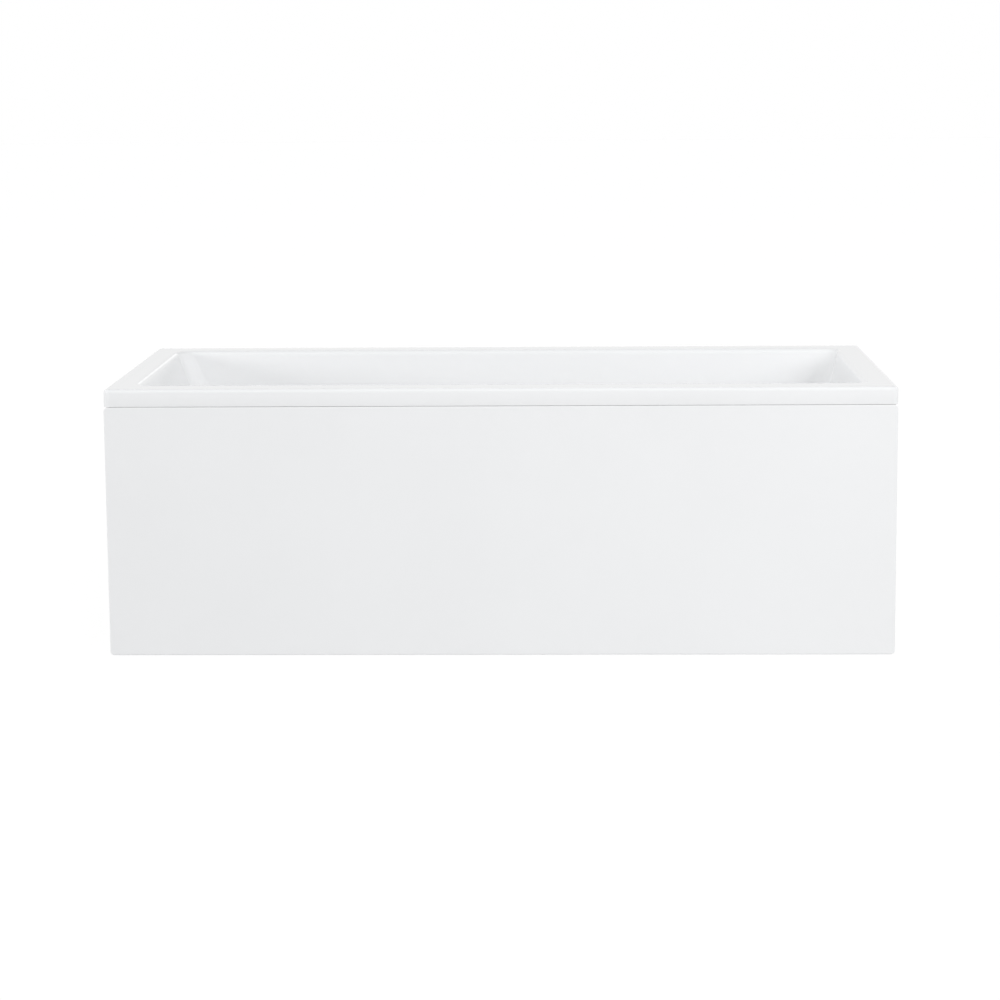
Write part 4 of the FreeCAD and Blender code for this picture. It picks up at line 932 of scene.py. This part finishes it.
@dataclass
class ApronPanel:
    """The one-piece panel: a flat face with rounded edges and returns, in millimetres."""

    half_length: float = 849
    foot: float = 3
    top: float = 546.4
    face: float = -375
    back: float = -355
    wall: float = 4
    corner: float = 9
    least_corner: float = 0.5  # radius that an inner ring's corners keep
    edge: float = 1.6
    inner_edge: float = 1
    back_edge: float = 0.4
    edge_margin: float = 1.5
    corner_steps: int = 10
    edge_steps: int = 10
    inner_steps: int = 4

    def ring(self, inset: float, depth: float) -> Ring:
        """A rounded outline of the panel.

        Args:
            inset: How far it is inside the panel's edge.
            depth: Where it is along Y.

        Returns:
            The outline.
        """
        radius = max(self.least_corner, self.corner - inset)
        middle, half = (self.foot + self.top) / 2, (self.top - self.foot) / 2
        outline = rounded_outline(self.half_length - inset, half - inset, radius, self.corner_steps)
        return [Vector((x, depth, middle + z)) for x, z in outline]

    def build(self) -> None:
        """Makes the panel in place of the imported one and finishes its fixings."""
        inside = self.face + self.wall
        rows = [self.ring(self.wall + self.inner_edge + self.edge_margin, inside)]
        for turn in quarter_turns(self.inner_steps):
            inset = self.wall + self.inner_edge * (1 - math.sin(turn))
            rows.append(self.ring(inset, inside + self.inner_edge * (1 - math.cos(turn))))
        rows += [
            self.ring(self.wall, self.back),
            self.ring(self.back_edge, self.back),
            self.ring(0, self.back - self.back_edge),
        ]
        for turn in quarter_turns(self.edge_steps):
            inset = self.edge * (1 - math.cos(turn))
            rows.append(self.ring(inset, self.face + self.edge * (1 - math.sin(turn))))
        rows.append(self.ring(self.edge + self.edge_margin, self.face))
        panel = piece_from(skin(rows), "apron_panel", Finish.ACRYLIC, SOFT_ANGLE)
        settle(panel, Body.PANEL.value, "front_panel")
        dress("panel_pins", Finish.WHITE)
        dress("panel_clips", Finish.WHITE)


# ------------------------------------------------------------------ legs, board and brackets


class NodeRecipe:
    """A Geometry Nodes tree with named inputs, made in code."""

    def __init__(self, name: str, finish: Finish) -> None:
        """Starts a tree.

        Args:
            name: The tree's name.
            finish: The finish that its result gets.
        """
        self.tree = bpy.data.node_groups.new(name, "GeometryNodeTree")
        self.tree.interface.new_socket("Geometry", in_out="INPUT", socket_type="NodeSocketGeometry")
        self.tree.interface.new_socket("Geometry", in_out="OUTPUT", socket_type="NodeSocketGeometry")
        self.finish = finish
        self.entry = self.tree.nodes.new("NodeGroupInput")
        self.values: dict[str, float] = {}

    def size(self, name: str, value: float, kind: str = "NodeSocketFloat") -> Socket:
        """A named input of the tree.

        Args:
            name: Its name.
            value: Its value.
            kind: The kind of socket.

        Returns:
            The socket that gives the value to other nodes.
        """
        item = self.tree.interface.new_socket(name, in_out="INPUT", socket_type=kind)
        self.values[item.identifier] = value
        return self.entry.outputs[name]

    def node(self, kind: str, links: Optional[Feeds] = None, **settings: object) -> bpy.types.Node:
        """A node of the tree.

        Args:
            kind: The kind of node.
            links: For each of its inputs, the socket or the plain value that feeds it.
            settings: Its settings.

        Returns:
            The node.
        """
        node = self.tree.nodes.new(kind)
        for name, value in settings.items():
            setattr(node, name, value)
        for key, source in (links or {}).items():
            if isinstance(source, Socket):
                self.tree.links.new(source, node.inputs[key])
            else:
                node.inputs[key].default_value = source
        return node

    def math(self, how: str, first: object, second: object = 0.0) -> Socket:
        """The result of one sum."""
        return self.node("ShaderNodeMath", {0: first, 1: second}, operation=how).outputs[0]

    def make(self, carrier: bpy.types.Object, result: Socket) -> bpy.types.Mesh:
        """Runs the tree on an object and gives its result as a plain mesh.

        Args:
            carrier: The object that the tree starts from.
            result: The geometry that the tree ends with.

        Returns:
            The mesh.
        """
        real = self.node("GeometryNodeRealizeInstances", {"Geometry": result})
        painted = self.node("GeometryNodeSetMaterial", {"Geometry": real.outputs[0]})
        painted.inputs["Material"].default_value = self.finish.material()
        exit_node = self.tree.nodes.new("NodeGroupOutput")
        self.tree.links.new(painted.outputs[0], exit_node.inputs[0])
        modifier = carrier.modifiers.new(self.tree.name, "NODES")
        modifier.node_group = self.tree
        for identifier, value in self.values.items():
            modifier[identifier] = value
        return finished_mesh(carrier)


@dataclass
class Leg:
    """One leg: its threaded stud and its nuts, in millimetres."""

    name: str
    radius: float = 6
    pitch: float = 1.75
    groove: float = 0.9
    stud_sides: int = 24
    rows_per_turn: int = 4
    flats: float = 19
    nut_height: float = 10
    nut_chamfer: float = 1.1
    nut_play: float = 0.05
    nut_sides: int = 48
    stud_angle: float = 50
    nut_angle: float = 25

    def threaded_stud(self) -> None:
        """Makes the stud with its running thread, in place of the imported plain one."""
        low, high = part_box(f"leg_stud_{self.name}")
        recipe = NodeRecipe(f"thread_{self.name}", Finish.BRIGHT_STEEL)
        length = recipe.size("Length", high.z - low.z)
        radius = recipe.size("Radius", self.radius * MM)
        pitch = recipe.size("Pitch", self.pitch * MM)
        groove = recipe.size("Groove", self.groove * MM)
        count = int((high.z - low.z) / (self.pitch * MM) * self.rows_per_turn)
        rows = recipe.size("Rows", count, "NodeSocketInt")
        sizes = {"Vertices": self.stud_sides, "Side Segments": rows, "Radius": radius, "Depth": length}
        stock = recipe.node("GeometryNodeMeshCylinder", sizes)
        position = recipe.node("GeometryNodeInputPosition").outputs[0]
        parts = recipe.node("ShaderNodeSeparateXYZ", {0: position}).outputs
        angle = recipe.math("ARCTAN2", parts[1], parts[0])
        turns = recipe.math("DIVIDE", angle, math.tau)
        climb = recipe.math("DIVIDE", parts[2], pitch)
        wave = recipe.math("PINGPONG", recipe.math("ADD", climb, turns), 0.5)
        depth = recipe.math("MULTIPLY", recipe.math("MULTIPLY", wave, 2.0), groove)
        factor = recipe.math("SUBTRACT", 1.0, recipe.math("DIVIDE", depth, radius))
        x, y = (recipe.math("MULTIPLY", parts[n], factor) for n in (0, 1))
        shaped = recipe.node("ShaderNodeCombineXYZ", {0: x, 1: y, 2: parts[2]}).outputs[0]
        flow = {"Geometry": stock.outputs["Mesh"], "Position": shaped}
        moved = recipe.node("GeometryNodeSetPosition", flow)
        carrier = bpy.data.objects.new(f"threaded_stud_{self.name}", bpy.data.meshes.new("stock"))
        bpy.context.scene.collection.objects.link(carrier)
        data = recipe.make(carrier, moved.outputs[0])
        data.transform(Matrix.Translation((low + high) / 2))
        smooth(data, self.stud_angle)
        carrier.data = data
        settle(carrier, f"leg_{self.name}", f"leg_stud_{self.name}")

    def hexagon(self, angle: float) -> float:
        """The hexagon of a nut.

        Args:
            angle: An angle round the nut's axis.

        Returns:
            How far from the axis the nut's side is there.
        """
        side = math.pi / 6
        local = (angle + side) % (math.pi / 3) - side
        return self.flats / math.sqrt(3) * math.cos(side) / math.cos(abs(side - abs(local)))

    def nuts(self) -> None:
        """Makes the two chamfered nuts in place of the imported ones."""
        low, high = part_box(f"leg_nuts_{self.name}")
        x, y = (low.x + high.x) / 2 / MM, (low.y + high.y) / 2 / MM
        bore, face = self.radius + self.nut_play, self.flats / 2
        angles = [math.tau * n / self.nut_sides for n in range(self.nut_sides)]
        mesh = bmesh.new()
        for foot in (low.z / MM, high.z / MM - self.nut_height):
            top = foot + self.nut_height
            outline = (  # radius and height, with no radius where the sides are six-cornered
                (bore, foot),
                (face, foot),
                (0, foot + self.nut_chamfer),
                (0, top - self.nut_chamfer),
                (face, top),
                (bore, top),
            )
            rows = []
            for radius, level in outline:
                reaches = [(angle, radius or self.hexagon(angle)) for angle in angles]
                points = [(x + r * math.cos(angle), y + r * math.sin(angle), level) for angle, r in reaches]
                rows.append([mesh.verts.new(point) for point in points])
            join_rows(mesh, rows + rows[:1])
        bmesh.ops.recalc_face_normals(mesh, faces=mesh.faces)
        made = piece_from(mesh, f"hex_nuts_{self.name}", Finish.STEEL, self.nut_angle)
        settle(made, f"nuts_{self.name}", f"leg_nuts_{self.name}")

    def build(self) -> None:
        """Makes the leg."""
        self.threaded_stud()
        self.nuts()
        dress(f"foot_pad_{self.name}", Finish.BLACK)


class Facing(Enum):
    """Which way a screw's point goes."""

    UP = 0.0
    DOWN = math.pi


@dataclass
class ScrewSet:
    """A set of cross-head screws in millimetres: (x, y, seat, facing) for each."""

    name: str
    node: str
    places: list[tuple[float, float, float, Facing]]
    length: float = 15
    radius: float = 2
    core: float = 1.44
    pitch: float = 1.4
    thread_start: float = 0.6
    thread_rise: float = 0.45  # from core to crest, along the screw
    thread_end: float = 3  # from the last thread to the point
    point: float = 2
    point_radius: float = 1.2
    head_radius: float = 4
    head_crown: float = 2.4
    head_height: float = 2.5
    head_side: float = 0.875
    head_edge: float = 0.8
    cross_width: float = 0.9
    cross_length: float = 4.4
    cross_depth: float = 2.4
    sides: int = 20
    head_steps: int = 3

    def outline(self) -> list[tuple[float, float]]:
        """One screw's outline, from its head to its point.

        Returns:
            Its points, as radius and height.
        """
        head = (
            (0, -self.head_height, 0),
            (self.head_crown, -self.head_height, self.head_edge),
            (self.head_radius, -self.head_side, self.head_edge),
            (self.head_radius, 0, 0),
            (self.radius, 0, 0),
        )
        thread = []
        for n in range(int((self.length - self.thread_end) / self.pitch)):
            foot = self.thread_start + n * self.pitch
            crest, end = foot + self.thread_rise, foot + 2 * self.thread_rise
            thread += [(self.core, foot), (self.radius, crest), (self.core, end)]
        point = [(self.point_radius, self.length - self.point), (0, self.length)]
        return softened(head, self.head_steps) + thread + point

    def template(self) -> bpy.types.Object:
        """One screw with its point up and its seat at the origin.

        Returns:
            The screw.
        """
        body = turned(self.outline(), self.sides)
        screw = piece_from(body, f"{self.name}_template", Finish.BRIGHT_STEEL)
        cross = []
        for width, depth in ((self.cross_width, self.cross_length), (self.cross_length, self.cross_width)):
            slot = block_from((width, depth, self.cross_depth), (0, 0, -self.head_height))
            cross.append(piece_from(slot, "slot", Finish.STEEL))
        carve(screw, cross)
        return screw

    def build(self) -> None:
        """Puts a screw at each place, by Geometry Nodes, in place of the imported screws."""
        screw = self.template()
        data = bpy.data.meshes.new(self.name)
        data.from_pydata([(x * MM, y * MM, seat * MM) for x, y, seat, _ in self.places], [], [])
        turn = data.attributes.new("turn", "FLOAT", "POINT")
        turn.data.foreach_set("value", [facing.value for *_, facing in self.places])
        carrier = bpy.data.objects.new(self.name, data)
        bpy.context.scene.collection.objects.link(carrier)
        recipe = NodeRecipe(f"{self.name}_tree", Finish.BRIGHT_STEEL)
        size = recipe.size("Screw Size", 1.0)
        source = recipe.node("GeometryNodeObjectInfo")
        source.inputs["Object"].default_value = screw
        named = recipe.node("GeometryNodeInputNamedAttribute", {"Name": "turn"}, data_type="FLOAT")
        pointing = recipe.node("ShaderNodeCombineXYZ", {0: named.outputs["Attribute"]})
        flow = {
            "Points": recipe.entry.outputs["Geometry"],
            "Instance": source.outputs["Geometry"],
            "Rotation": pointing.outputs[0],
            "Scale": size,
        }
        spread = recipe.node("GeometryNodeInstanceOnPoints", flow)
        carrier.data = recipe.make(carrier, spread.outputs[0])
        bpy.data.objects.remove(screw)
        settle(carrier, Body.BATH.value, self.node)


@dataclass
class Underframe:
    """Board, battens, rails, brackets, legs and screws under the bath, in millimetres."""

    steel: tuple[str, ...] = (
        "leg_rail_head",
        "leg_rail_foot",
        "centre_leg_bracket",
        "wall_bracket_head",
        "wall_bracket_foot",
        "panel_bracket_top_head",
        "panel_bracket_top_foot",
        "panel_bracket_low_head",
        "panel_bracket_low_foot",
    )
    legs: list[Leg] = field(default_factory=lambda: [Leg(name) for name in LEGS])
    # Rails, leg and brackets have places along the bath, and their screws have places across it and
    # heights of their seats.
    rails: tuple[float, float] = (-450, 390)
    rail_screws: float = 150  # from the base's middle
    rail_seat: float = 156.8
    centre_leg: float = -30
    centre_screws: float = 37  # from the base's middle
    middle: float = 1
    wall_brackets: tuple[float, float] = (-500, 500)
    wall_screws: float = 347
    top_brackets: tuple[float, float] = (-520, 520)
    top_screws: float = -335
    batten_seat: float = 560
    low_screws: float = -310.5
    low_seat: float = 160.8
    screw_half_gap: float = 11

    def pairs(
        self, ends: Sequence[float], y: float, seat: float, facing: Facing
    ) -> list[tuple[float, float, float, Facing]]:
        """Places of two screws side by side at each of some places along the bath."""
        return [(x + side * self.screw_half_gap, y, seat, facing) for x in ends for side in (-1, 1)]

    def screw_sets(self) -> list[ScrewSet]:
        """The three sets of screws and where they go.

        Returns:
            The sets.
        """
        spots = [(x, self.rail_screws) for x in self.rails] + [(self.centre_leg, self.centre_screws)]
        boards = []
        for x, across in spots:
            for sx in (-1, 1):
                for sy in (-1, 1):
                    place = (x + sx * self.screw_half_gap, self.middle + sy * across, self.rail_seat)
                    boards.append((*place, Facing.UP))
        walls = self.pairs(self.wall_brackets, self.wall_screws, self.batten_seat, Facing.UP)
        panels = self.pairs(self.top_brackets, self.top_screws, self.batten_seat, Facing.UP)
        panels += self.pairs(self.rails, self.low_screws, self.low_seat, Facing.DOWN)
        return [
            ScrewSet("board_screws", "leg_screws", boards),
            ScrewSet("wall_screws", "wall_bracket_screws", walls),
            ScrewSet("panel_screws", "panel_bracket_screws", panels),
        ]

    def build(self) -> None:
        """Makes the underframe."""
        dress("base_board", Finish.CHIPBOARD)
        for side in ("front", "back"):
            dress(f"rim_batten_{side}", Finish.SOFTWOOD_X)
        for end in ("head", "foot"):
            dress(f"rim_batten_{end}", Finish.SOFTWOOD_Y)
        for node in self.steel:
            dress(node, Finish.STEEL)
        for leg in self.legs:
            leg.build()
        for screws in self.screw_sets():
            screws.build()


# ------------------------------------------------------------------ waste, overflow and trap


@dataclass
class Fittings:
    """Waste, plug, overflow, hose and trap, in millimetres.

    An outline has the radius, the height and the rounding of each corner.
    """

    moulding: BathMoulding
    steps: int = 96
    plug_stem: tuple[float, float] = (3, 0.4)  # radius and the rounding of its foot
    plug_cap: float = 3.6  # height
    plug_outline: tuple[Triple, ...] = (  # heights over the foot of the cap
        (3, -7.5, 0),
        (15, -7.5, 0.4),
        (15, -1.2, 0),
        (22.5, -1.2, 0.3),
        (22.5, 0, 0),
        (31, 0, 0.5),
        (31, 0.9, 0.6),
        (28.6, 2.2, 1.4),
        (22, 3.1, 5),
        (10, 3.6, 5),
        (0, 3.6, 0),
    )
    plate_outline: tuple[Triple, ...] = (  # heights from the wall's inner face, out of the basin
        (4.1, -10, 0),
        (33, -10, 1.5),
        (36, -8.4, 1.5),
        (36, 0, 0.3),
        (34, 0, 0.3),
        (34, -8, 0),
        (22, -8, 0),
        (22, 19.2, 0),
        (19, 19.2, 0),
        (19, -8, 0),
        (4.1, -8, 0),
    )
    inlet_size: Triple = (22, 19, 6)
    inlet_place: Triple = (26, 0, -4)
    knob_outline: tuple[Triple, ...] = (  # heights from the wall's inner face, out of the basin
        (0, -22.4, 0),
        (21, -22.4, 1.2),
        (24, -19.4, 2),
        (24, -10.4, 0.8),
        (4, -10.4, 0),
        (4, 32, 0.4),
        (0, 32, 0),
    )
    knob_angle: float = 35
    grip_size: Triple = (9, 42, 10)
    grip_place: Triple = (0, 0, -26.4)
    grip_edge: float = 2.4
    grip_fullness: float = 0.6  # of its rounded edges: 0.5 is round, 1 is square
    grip_steps: int = 4
    finishes: dict[str, Finish] = field(
        default_factory=lambda: {
            "waste_flange": Finish.CHROME,
            "waste_body": Finish.BLACK,
            "lift_lever": Finish.STEEL,
            "overflow_body": Finish.BLACK,
            "cable_drum": Finish.BLACK,
            "overflow_hose": Finish.HOSE,
            "hose_clips": Finish.STEEL,
            "plug_cable": Finish.BLACK,
            "trap_body": Finish.WHITE,
            "trap_nut": Finish.WHITE,
            "trap_outlet_nut": Finish.WHITE,
            "waste_seal_upper": Finish.RUBBER,
            "waste_seal_lower": Finish.RUBBER,
            "overflow_seal": Finish.RUBBER,
            "plug_seal": Finish.RUBBER,
            "trap_washer": Finish.RUBBER,
            "trap_outlet_seal": Finish.RUBBER,
        }
    )

    def plug(self) -> None:
        """Makes the domed plug on its stem."""
        low, high = (corner.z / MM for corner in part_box("plug"))
        cap = high - self.plug_cap
        stem, edge = self.plug_stem
        outline = [(0, low, 0), (stem, low, edge)]
        outline += [(radius, cap + level, rounding) for radius, level, rounding in self.plug_outline]
        mesh = turned(softened(outline), self.steps)
        bmesh.ops.translate(mesh, vec=(*self.moulding.waste, 0), verts=mesh.verts)
        made = piece_from(mesh, "domed_plug", Finish.CHROME)
        settle(made, Body.PLUG.value, "plug")

    def on_foot_wall(self, mesh: bmesh.types.BMesh) -> bmesh.types.BMesh:
        """Stands a mesh on the foot wall.

        Args:
            mesh: A mesh made about Z, with Z pointing out of the basin.

        Returns:
            The same mesh.
        """
        middle, out = self.moulding.overflow_axis()
        lean = math.radians(self.moulding.slope.foot)
        down = Vector((-math.sin(lean), 0, -math.cos(lean)))
        turn = Matrix((down, out.cross(down), out)).transposed().to_4x4()
        bmesh.ops.transform(mesh, matrix=Matrix.Translation(middle) @ turn, verts=mesh.verts)
        return mesh

    def plate(self) -> None:
        """Makes the overflow's dished plate with its neck and its inlet slot."""
        rose = self.on_foot_wall(turned(softened(self.plate_outline), self.steps))
        plate = piece_from(rose, "overflow_rose", Finish.CHROME)
        inlet = self.on_foot_wall(block_from(self.inlet_size, self.inlet_place))
        carve(plate, [piece_from(inlet, "slot", Finish.STEEL)])
        settle(plate, Body.BATH.value, "overflow_plate")

    def knob(self) -> None:
        """Makes the turning knob, its rounded grip and its spindle."""
        knob = turned(softened(self.knob_outline), self.steps)
        grip = block_from(self.grip_size, self.grip_place)
        rounding = {"offset": self.grip_edge, "segments": self.grip_steps, "profile": self.grip_fullness}
        bmesh.ops.bevel(grip, geom=grip.edges[:], affect="EDGES", **rounding)
        solid = piece_from(self.on_foot_wall(knob), "overflow_handle", Finish.CHROME)
        carve(solid, [piece_from(self.on_foot_wall(grip), "grip", Finish.CHROME)], Carving.ADD)
        smooth(solid.data, self.knob_angle)
        settle(solid, Body.KNOB.value, "overflow_knob")

    def build(self) -> None:
        """Makes and finishes the fittings."""
        for node, finish in self.finishes.items():
            dress(node, finish)
        self.plug()
        self.plate()
        self.knob()


# ------------------------------------------------------------------ studio


@dataclass(frozen=True)
class SoftBox:
    """A rectangular lamp, in metres and watts."""

    name: str
    at: Triple
    towards: Triple
    size: tuple[float, float]
    watts: float
    mirrored: bool = True

    def hang(self) -> None:
        """Hangs the lamp."""
        light = bpy.data.lights.new(self.name, "AREA")
        light.shape, light.energy = "RECTANGLE", self.watts
        light.size, light.size_y = self.size
        lamp = bpy.data.objects.new(self.name, light)
        lamp.location = self.at
        lamp.rotation_euler = (Vector(self.towards) - Vector(self.at)).to_track_quat("-Z", "Y").to_euler()
        lamp.visible_glossy = self.mirrored
        bpy.context.scene.collection.objects.link(lamp)


@dataclass
class Studio:
    """Plain pale floor, soft lamps and the camera, in metres and degrees."""

    lamps: tuple[SoftBox, ...] = (
        SoftBox("key", (4.4, -6.7, 4.3), (0.1, 0, 0.4), (7.5, 5.2), 470, mirrored=False),
        SoftBox("fill", (-12, -2.4, 2.6), (0.4, 0, 0.5), (4.0, 2.2), 670, mirrored=False),
        SoftBox("rear_strip", (0, 7.2, 2.16), (0, 0, 0.5), (2, 0.5), 1.4),
        SoftBox("low_box", (2.8, -5.2, 1.15), (-0.75, 0.3, 0.5), (1.2, 0.6), 6.5),
    )
    sky: float = 0.5
    sky_tint: Triple = (0.985, 0.99, 1)
    floor_shade: float = 0.5
    floor_rough: float = 0.9
    floor_half: float = 30
    floor_drop: float = 0.5 * MM
    kept_shadow: float = 0.13
    shadow_lift: float = 0.8
    lens: float = 90.71
    sensor: float = 36
    shift: float = -0.1
    far_end: float = 100
    stand: Triple = (0.143, -5.697, 1.307)
    yaw: float = -1.52
    pitch: float = 7.99
    roll: float = -0.43

    def bright_share(self, tree: bpy.types.NodeTree, keep: float) -> Socket:
        """How far rays from the camera, mirrors and glass see white instead of a surface.

        Args:
            tree: The node tree.
            keep: The share of the surface that these rays still see.

        Returns:
            The share of white, which is nought for all other rays.
        """
        path = tree.nodes.new("ShaderNodeLightPath").outputs
        seen = path["Is Camera Ray"]
        for ray in ("Is Glossy Ray", "Is Transmission Ray"):
            either = tree.nodes.new("ShaderNodeMath")
            either.operation = "MAXIMUM"
            tree.links.new(seen, either.inputs[0])
            tree.links.new(path[ray], either.inputs[1])
            seen = either.outputs[0]
        share = tree.nodes.new("ShaderNodeMath")
        share.operation = "MULTIPLY"
        share.inputs[1].default_value = 1 - keep
        tree.links.new(seen, share.inputs[0])
        return share.outputs[0]

    def whitened(self, tree: bpy.types.NodeTree, plain: Socket, white: Socket, keep: float) -> Socket:
        """Mixes a surface with white for rays from the camera, mirrors and glass.

        Args:
            tree: The node tree.
            plain: The surface that lights and shades as usual.
            white: What these rays see instead.
            keep: The share of the surface that they still see.

        Returns:
            The mixed surface.
        """
        mix = tree.nodes.new("ShaderNodeMixShader")
        tree.links.new(self.bright_share(tree, keep), mix.inputs[0])
        tree.links.new(plain, mix.inputs[1])
        tree.links.new(white, mix.inputs[2])
        return mix.outputs[0]

    def glow(self, tree: bpy.types.NodeTree, kind: str, strength: float) -> Socket:
        """A white light of its own.

        Args:
            tree: The node tree.
            kind: The kind of node.
            strength: Its strength.

        Returns:
            The shader.
        """
        node = tree.nodes.new(kind)
        node.inputs["Color"].default_value = (1, 1, 1, 1)
        node.inputs["Strength"].default_value = strength
        return node.outputs[0]

    def world(self) -> None:
        """Sets an even, slightly cool sky that the camera sees as white."""
        world = bpy.data.worlds.new("studio")
        world.use_nodes = True
        tree = world.node_tree
        sky = tree.nodes["Background"]
        sky.inputs["Color"].default_value = (*self.sky_tint, 1)
        sky.inputs["Strength"].default_value = self.sky
        white = self.glow(tree, "ShaderNodeBackground", 1)
        surface = self.whitened(tree, sky.outputs[0], white, 0)
        tree.links.new(surface, tree.nodes["World Output"].inputs["Surface"])
        bpy.context.scene.world = world

    def floor_material(self) -> bpy.types.Material:
        """The floor's finish, which keeps the bath's shadow.

        Its white is a look through it at the white world, so that it never hides a foot below it.

        Returns:
            The material.
        """
        material = bpy.data.materials.new("pale_floor")
        material.use_nodes = True
        tree = material.node_tree
        shader = tree.nodes["Principled BSDF"]
        shader.inputs["Base Color"].default_value = (*(self.floor_shade,) * 3, 1)
        shader.inputs["Roughness"].default_value = self.floor_rough
        clear = tree.nodes.new("ShaderNodeBsdfTransparent")
        white = tree.nodes.new("ShaderNodeAddShader")
        lift = self.glow(tree, "ShaderNodeEmission", self.shadow_lift * self.kept_shadow)
        tree.links.new(lift, white.inputs[0])
        tree.links.new(clear.outputs[0], white.inputs[1])
        surface = self.whitened(tree, shader.outputs[0], white.outputs[0], self.kept_shadow)
        tree.links.new(surface, tree.nodes["Material Output"].inputs["Surface"])
        return material

    def floor(self) -> None:
        """Lays the pale floor just under the feet."""
        mesh = bmesh.new()
        stand = Matrix.Translation((0, 0, -self.floor_drop))
        bmesh.ops.create_grid(mesh, x_segments=1, y_segments=1, size=self.floor_half, matrix=stand)
        data = bpy.data.meshes.new("floor")
        mesh.to_mesh(data)
        mesh.free()
        data.materials.append(self.floor_material())
        floor = bpy.data.objects.new("floor", data)
        bpy.context.scene.collection.objects.link(floor)

    def camera(self) -> None:
        """Sets the camera where the picture was taken from."""
        data = bpy.data.cameras.new("camera")
        data.lens, data.sensor_width, data.shift_y = self.lens, self.sensor, self.shift
        data.clip_end = self.far_end
        camera = bpy.data.objects.new("camera", data)
        yaw, pitch, roll = (math.radians(angle) for angle in (self.yaw, self.pitch, self.roll))
        look = Vector((math.sin(yaw) * math.cos(pitch), math.cos(yaw) * math.cos(pitch), -math.sin(pitch)))
        turn = look.to_track_quat("-Z", "Y").to_matrix().to_4x4() @ Matrix.Rotation(roll, 4, "Z")
        camera.matrix_world = Matrix.Translation(self.stand) @ turn
        bpy.context.scene.collection.objects.link(camera)
        bpy.context.scene.camera = camera

    def build(self) -> None:
        """Sets the whole studio up."""
        self.world()
        self.floor()
        for lamp in self.lamps:
            lamp.hang()
        self.camera()
        bpy.context.scene.view_settings.view_transform = "Standard"


def main() -> None:
    """Builds the bath and its studio."""
    logging.basicConfig(level=logging.INFO, format="%(message)s")
    Studio().build()
    moulding = BathMoulding()
    builders: list[Callable[[], None]] = [
        moulding.build,
        ApronPanel().build,
        Underframe().build,
        Fittings(moulding).build,
    ]
    for build in builders:
        build()


if __name__ == "__main__":
    main()
